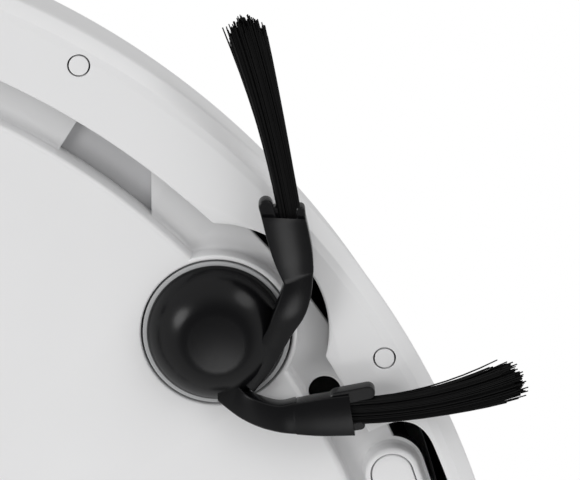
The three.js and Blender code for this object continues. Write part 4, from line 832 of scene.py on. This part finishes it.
def roller():
    """The core and its three soft blades. The bristle rows between the blades are a piece of their own."""
    outline = lambda grow: [
        (r * math.cos(a), r * math.sin(a))
        for blade in range(3)
        for r, a in (
            (9.0, 2 * math.pi * blade / 3 - 0.20), (11.5, 2 * math.pi * blade / 3 - 0.11),
            (23.0, 2 * math.pi * blade / 3 - 0.035), (23.4, 2 * math.pi * blade / 3),
            (23.0, 2 * math.pi * blade / 3 + 0.035), (11.5, 2 * math.pi * blade / 3 + 0.11),
            *((9.0, 2 * math.pi * (blade / 3 + k / 30) + 0.20 * (1 - k / 5)) for k in range(10)),
        )
    ]
    rings = []
    for k in range(41):
        x = BRUSH_HALF * (k / 20 - 1)
        c, d = math.cos(twist(x)), math.sin(twist(x))
        rings.append([(px * c - py * d, px * d + py * c, x) for px, py in outline(0)])
    body = lofted(rings, "brush_core")
    join(body, layered(circle(4, n=32), [(0, -86.8), (0, 82.5)]))
    return along_x(body, (0, BRUSH_Y, BRUSH_Z))


def bristle_rows():
    rnd = random.Random(31)
    verts, faces = [], []
    for row in range(3):
        for k in range(130):
            for _ in range(3):
                x = BRUSH_HALF * (2 * (k + rnd.uniform(0.2, 0.8)) / 130 - 1)
                a = 2 * math.pi * (row + 0.5) / 3 + twist(x) + rnd.uniform(-0.05, 0.05)
                tip = 23.3 * rnd.uniform(0.965, 1.0)
                lean = rnd.uniform(-0.04, 0.04)
                path = []
                for r in (8.5, 16, tip):
                    angle = a + lean * r / tip
                    path.append(Vector((x, BRUSH_Y + r * math.cos(angle), BRUSH_Z + r * math.sin(angle))))
                filament(verts, faces, path, 0.17, 3)
    return raw("brush_bristles", verts, faces)


def caster_wheel():
    half, radius = CASTER_HALF_WIDTH, CASTER_RADIUS
    profile = [(0, -half - 3.8), (2, -half - 3.8), (2, -half)]
    profile += arc((radius - 1.6, -half + 1.6), 1.6, 270, 360)
    profile += arc((radius - 1.6, half - 1.6), 1.6, 0, 90) + [(2, half), (2, half + 3.8), (0, half + 3.8)]
    return along_x(turned(profile, 96, name="caster_roller"), (0, CASTER_Y - CASTER_OFFSET, radius))


def caster_socket():
    z0, roof = CLEARANCE + 0.1, CLEARANCE + 20
    bore, outer = CASTER_BORE_RADIUS, CASTER_HOLE_RADIUS - GAP
    profile = [(bore, z0 + 0.5), (bore + 0.5, z0), (outer - 0.3, z0), (outer, z0 + 0.3), (outer, roof),
               (4.3, roof), (4.3, roof - 2), (bore, roof - 2)]
    return turned(profile, 128, (0, CASTER_Y), "caster_socket_moulding")


# ---- materials ----


def material(name, colour, roughness, grain=1400, bump=0.02, variation=0.03, speckle=0.05, **sockets):
    """A procedural finish: slight colour and roughness variation and a fine moulded grain."""
    mat = bpy.data.materials.new(name)
    mat.use_nodes = True
    nodes, links = mat.node_tree.nodes, mat.node_tree.links
    shader = nodes["Principled BSDF"]
    place = nodes.new("ShaderNodeTexCoord")
    broad = nodes.new("ShaderNodeTexNoise")
    broad.inputs["Scale"].default_value = 35
    broad.inputs["Detail"].default_value = 4
    fine = nodes.new("ShaderNodeTexNoise")
    fine.inputs["Scale"].default_value = grain
    fine.inputs["Detail"].default_value = 3
    links.new(place.outputs["Object"], broad.inputs["Vector"])
    links.new(place.outputs["Object"], fine.inputs["Vector"])
    ramp = nodes.new("ShaderNodeValToRGB")
    ramp.color_ramp.elements[0].position = 0.3
    ramp.color_ramp.elements[1].position = 0.7
    ramp.color_ramp.elements[0].color = (*[c * (1 - variation) for c in colour], 1)
    ramp.color_ramp.elements[1].color = (*[min(1, c * (1 + variation)) for c in colour], 1)
    links.new(broad.outputs["Fac"], ramp.inputs["Fac"])
    links.new(ramp.outputs["Color"], shader.inputs["Base Color"])
    rough = nodes.new("ShaderNodeMapRange")
    rough.inputs["From Min"].default_value = 0.3
    rough.inputs["From Max"].default_value = 0.7
    rough.inputs["To Min"].default_value = max(0.02, roughness - speckle)
    rough.inputs["To Max"].default_value = roughness + speckle
    links.new(fine.outputs["Fac"], rough.inputs["Value"])
    links.new(rough.outputs["Result"], shader.inputs["Roughness"])
    relief = nodes.new("ShaderNodeBump")
    relief.inputs["Strength"].default_value = 0.35
    relief.inputs["Distance"].default_value = bump * MM
    links.new(fine.outputs["Fac"], relief.inputs["Height"])
    links.new(relief.outputs["Normal"], shader.inputs["Normal"])
    for key, value in sockets.items():
        shader.inputs[key.replace("_", " ")].default_value = value
    return mat


WHITE = material("white_plastic", (0.78, 0.78, 0.785), 0.36, 1500, 0.012, 0.012)
# near-black painted shade for the faces deep in the gap between bumper and chassis, where the shadow falls
PAINTED_GAP_SHADE = material("painted_gap_shade", (0.012, 0.012, 0.012), 0.7)
LIGHT_GREY = material("light_grey_plastic", (0.45, 0.455, 0.46), 0.42, 1800, 0.01)
GREY = material("grey_plastic", (0.22, 0.225, 0.23), 0.5, 900, 0.05)
SENSOR = material("sensor_grey", (0.62, 0.62, 0.63), 0.35, 900, 0.01)
BLACK = material("black_plastic", (0.018, 0.018, 0.019), 0.5, 900, 0.05)
GLOSS = material("black_gloss", (0.0035, 0.0035, 0.004), 0.22, 700, 0.001, 0.02, 0.01, Specular_IOR_Level=0.2)
SMOKED = material("smoked_window", (0.012, 0.012, 0.014), 0.12, 600, 0.004, 0.02, 0.02)
METAL = material("contact_metal", (0.72, 0.70, 0.66), 0.3, 2500, 0.01, Metallic=1.0)
STEEL = material("motor_steel", (0.55, 0.56, 0.57), 0.32, 2500, 0.01, Metallic=1.0)
BRASS = material("gear_brass", (0.70, 0.52, 0.26), 0.3, 2500, 0.01, Metallic=1.0)
RUBBER = material("brush_rubber", (0.02, 0.02, 0.021), 0.6, 700, 0.05)
TYRE = material("tyre_rubber", (0.022, 0.022, 0.023), 0.75, 500, 0.12)
BRISTLE = material("bristle_nylon", (0.0025, 0.0025, 0.0026), 0.45, 300, 0.01, Specular_IOR_Level=0.12)
BIN = material("bin_plastic", (0.66, 0.66, 0.665), 0.33, 1500, 0.012, 0.012)
FILTER = material("filter_paper", (0.80, 0.80, 0.76), 0.9, 1200, 0.12)
BATTERY = material("battery_sleeve", (0.03, 0.08, 0.25), 0.35, 300, 0.05)
BOARD = material("circuit_board", (0.015, 0.11, 0.04), 0.4, 700, 0.03)
FINISHES = {
    "white_shell": WHITE, "sensor_grey": SENSOR, "smoked_window": SMOKED, "contact_metal": METAL,
    "black_plastic": BLACK, "grey_plastic": GREY, "light_grey_plastic": LIGHT_GREY, "black_gloss": GLOSS,
    "bristle": BRISTLE, "gear_brass": BRASS, "motor_steel": STEEL, "brush_rubber": RUBBER, "tyre": TYRE,
    "bin_grey": BIN, "filter_media": FILTER, "battery_wrap": BATTERY, "circuit_board": BOARD,
}
SLOT_OF = {row["node"]: row["material_slot"] for row in frame["record"]["subparts"]}
BODY_OF = {n: body for body, members in frame["record"]["behaviour"]["bodies"].items() for n in members}


def stand_for(piece, *nodes, shade=32):
    """The piece takes the place, the body and the finish of CAD nodes."""
    smooth(piece, shade)
    slot = SLOT_OF[nodes[0]]
    if not any(piece.data.materials):
        piece.data.materials.clear()
        piece.data.materials.append(FINISHES[slot])
    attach(piece, BODY_OF[nodes[0]])
    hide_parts(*nodes)


def carried(node, bevel=0.3, degrees=35):
    """A CAD node keeps its shape; its edges are eased and its finish set."""
    ob = frame["nodes"][node]
    ob.data.materials.clear()
    ob.data.materials.append(FINISHES[SLOT_OF[node]])
    for polygon in ob.data.polygons:
        polygon.use_smooth = True
        polygon.material_index = 0
    weld = ob.modifiers.new("weld", "WELD")
    weld.merge_threshold = 0.005 * MM
    if bevel:
        ease = ob.modifiers.new("ease", "BEVEL")
        ease.width = bevel * MM
        ease.segments = 2
        ease.limit_method = "ANGLE"
        ease.angle_limit = math.radians(degrees)
        ease.harden_normals = False


def paint_gap_shade(ob, test):
    """Faces whose middle, in millimetres, and normal pass the test take a near-black finish that is painted
    shade, standing in for the shadow deep in the gap between the bumper and the chassis; the other faces stay
    white.
    """
    ob.data.materials.clear()
    ob.data.materials.append(WHITE)
    ob.data.materials.append(PAINTED_GAP_SHADE)
    for face in ob.data.polygons:
        face.material_index = 0
    for face in ob.data.polygons:
        if test(face.center / MM, face.normal):
            face.material_index = 1


# ---- build ----

shell = bumper()
# the inner face of the bumper wall and the top of its flange are painted near black: painted shade for the
# shadow in the gap behind the flange
paint_gap_shade(shell, lambda c, n: (c.z > 15 and c.x * n.x + c.y * n.y < 0) or (n.z > 0.5 and c.z < 16))
stand_for(shell, "bumper_shell")

base = chassis()
# the tub's outer wall above the channel is painted near black: painted shade for the shadow in the same gap
paint_gap_shade(base, lambda c, n: c.z > CHANNEL_Z + 0.6 and math.hypot(c.x, c.y) > TUB_RADIUS - 0.2)
stand_for(base, "base_chassis")

stand_for(rear_shell(), "rear_shell")
stand_for(top_cover(), "top_cover")
stand_for(turret(), "turret_cap")

for i, angle in enumerate(PLUG_ANGLES):
    centre = polar(PLUG_DISTANCE, angle)
    plug = raised(circle(PLUG_RADIUS - 0.05, centre, 48), CLEARANCE, CLEARANCE + FLANGE_THICKNESS, 0.06)
    plug.name = f"bumper_plug_disc_{i + 1}"
    stand_for(plug, f"bumper_plug_{i + 1}")

for side, label in ((1, "right"), (-1, "left")):
    outer, inner = pad_ends(side)
    z = CLEARANCE + 0.1
    levels = [(-1.2, z), (-0.5, z + 0.04), (-0.15, z + 0.15), (0, z + 0.4), (0, z + 1.4)]
    cap = layered(stadium(outer, inner, PAD_CAP_RADIUS), levels)
    cap.name = f"pad_cap_moulding_{label}"
    stand_for(cap, f"pad_cap_{label}")

stand_for(side_brush(), "side_brush", shade=20)
right = tuft("bristles_right", 11, (25.4, 15.2, 6.3), (46.0, 11.9, 5.7), (68.6, 5.0, 3.6),
             (2.2, 1.4), (3.4, 1.5), 260, 22, 1)
stand_for(right, "side_tuft_1", shade=60)
front = tuft("bristles_front", 12, (-14.9, 25.6, 6.3), (-14.6, 44.0, 5.7), (-6.6, 62.6, 3.6),
             (2.4, 1.4), (3.6, 1.5), 260, 20, -1)
stand_for(front, "side_tuft_2", shade=60)

bezel_z = CLEARANCE + 0.15
bezel = [(6, bezel_z), (14.95, bezel_z), (15.1, bezel_z + 0.15), (15.1, CHANNEL_Z + WALL),
         (13.5, CHANNEL_Z + WALL), (13.5, bezel_z + 2), (6, bezel_z + 2)]
stand_for(turned(bezel, 128, HUB, "side_brush_bezel_ring"), "side_brush_bezel")

stand_for(dustbin(), "dustbin")
stand_for(release_button(), "bin_release_button")
for side, label in ((1, "right"), (-1, "left")):
    stand_for(tyre(side), f"wheel_tyre_{label}", shade=40)
    stand_for(wheel_hub(side), f"wheel_hub_{label}")
stand_for(roller(), "main_brush", shade=40)
rows = bristle_rows()
rows.data.materials.append(BRISTLE)
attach(rows, BODY_OF["main_brush"])
stand_for(caster_wheel(), "caster_wheel")
stand_for(caster_socket(), "caster_socket")

replaced = {o.get("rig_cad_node") for o in frame["nodes"].values() if o.hide_render}
for node in frame["nodes"]:
    if node not in replaced:
        carried(node)

# ---- light, floor, camera ----


def area(name, place, aim, size, power):
    data = bpy.data.lights.new(name, "AREA")
    data.shape = "DISK"
    data.size = size
    data.energy = power
    ob = bpy.data.objects.new(name, data)
    ob.location = place
    ob.rotation_euler = (Vector(aim) - Vector(place)).to_track_quat("-Z", "Y").to_euler()
    bpy.context.scene.collection.objects.link(ob)


def surroundings():
    world = bpy.data.worlds.new("studio")
    bpy.context.scene.world = world
    world.use_nodes = True
    nodes, links = world.node_tree.nodes, world.node_tree.links
    nodes.clear()
    out = nodes.new("ShaderNodeOutputWorld")
    white = nodes.new("ShaderNodeBackground")
    soft = nodes.new("ShaderNodeBackground")
    choose = nodes.new("ShaderNodeMixShader")
    rays = nodes.new("ShaderNodeLightPath")
    place = nodes.new("ShaderNodeTexCoord")
    parts = nodes.new("ShaderNodeSeparateXYZ")
    ramp = nodes.new("ShaderNodeValToRGB")
    shift = nodes.new("ShaderNodeMapRange")
    shift.inputs["From Min"].default_value = -1
    shift.inputs["From Max"].default_value = 1
    links.new(place.outputs["Generated"], parts.inputs["Vector"])
    links.new(parts.outputs["Z"], shift.inputs["Value"])
    links.new(shift.outputs["Result"], ramp.inputs["Fac"])
    stops = ramp.color_ramp
    stops.elements[0].position = 0.0
    stops.elements[0].color = (0.20, 0.20, 0.20, 1)
    stops.elements[1].position = 1.0
    stops.elements[1].color = (0.45, 0.45, 0.45, 1)
    for position, level in ((0.04, 0.27), (0.18, 0.86), (0.45, 0.92), (0.62, 0.50)):
        stop = stops.elements.new(position)
        stop.color = (level, level, level, 1)
    links.new(ramp.outputs["Color"], soft.inputs["Color"])
    white.inputs["Color"].default_value = (1, 1, 1, 1)
    links.new(rays.outputs["Is Camera Ray"], choose.inputs["Fac"])
    links.new(soft.outputs["Background"], choose.inputs[1])
    links.new(white.outputs["Background"], choose.inputs[2])
    links.new(choose.outputs["Shader"], out.inputs["Surface"])


def floor():
    half, z = 2500, -0.2
    corners = [(-half, -half, z), (half, -half, z), (half, half, z), (-half, half, z)]
    ob = made("floor", corners, [[0, 1, 2, 3]])
    mat = bpy.data.materials.new("pale_floor_painted_contact_shadow")
    mat.use_nodes = True
    nodes, links = mat.node_tree.nodes, mat.node_tree.links
    shader = nodes["Principled BSDF"]
    # ambient occlusion darkens the floor's colour close to the robot: a painted contact shadow
    near = nodes.new("ShaderNodeAmbientOcclusion")
    near.inputs["Color"].default_value = (0.78, 0.78, 0.77, 1)
    near.inputs["Distance"].default_value = 0.07
    links.new(near.outputs["Color"], shader.inputs["Base Color"])
    shader.inputs["Roughness"].default_value = 0.7
    clear = nodes.new("ShaderNodeBsdfTransparent")
    sides = nodes.new("ShaderNodeNewGeometry")
    choose = nodes.new("ShaderNodeMixShader")
    links.new(sides.outputs["Backfacing"], choose.inputs["Fac"])
    links.new(shader.outputs["BSDF"], choose.inputs[1])
    links.new(clear.outputs["BSDF"], choose.inputs[2])
    links.new(choose.outputs["Shader"], nodes["Material Output"].inputs["Surface"])
    ob.data.materials.append(mat)
    ob.visible_diffuse = False
    ob.visible_glossy = False
    ob.visible_transmission = False
    ob.visible_shadow = False


def camera():
    """It looks up at the front right corner of the underside, with the front to the right of the picture."""
    tilt = math.radians(16.67)
    right = Vector((0, 1, 0))
    up = Vector((math.cos(tilt), 0, math.sin(tilt)))
    back = Vector((math.sin(tilt), 0, -math.cos(tilt)))
    data = bpy.data.cameras.new("camera")
    data.lens = 300
    data.sensor_width = 36
    width, pixels_per_mm = 580, 4.92
    distance = data.lens * width / data.sensor_width / pixels_per_mm * MM
    aim = Vector((109.8, 127.0, 12)) * MM
    ob = bpy.data.objects.new("camera", data)
    turn = Matrix((right, up, back)).transposed().to_4x4()
    turn.translation = aim + back * distance
    ob.matrix_world = turn
    data.clip_start, data.clip_end = 0.05, 20
    bpy.context.scene.collection.objects.link(ob)
    bpy.context.scene.camera = ob


surroundings()
floor()
camera()
area("under_left", (-0.31, 0.125, -0.79), (0.11, 0.125, 0), 0.22, 0.5)
area("under_front", (0.75, 0.75, -0.55), (0.08, 0.1, 0), 0.5, 1.6)
area("under_side", (0.30, -0.70, -0.80), (0.1, 0.1, 0), 0.5, 3.6)
area("over_key", (-0.7, 0.9, 1.1), (0, 0, 0.05), 0.8, 5)
area("over_fill", (0.9, -0.7, 0.9), (0, 0, 0.05), 1.2, 2)
bpy.context.scene.view_settings.view_transform = "Standard"
bpy.context.scene.view_settings.look = "None"
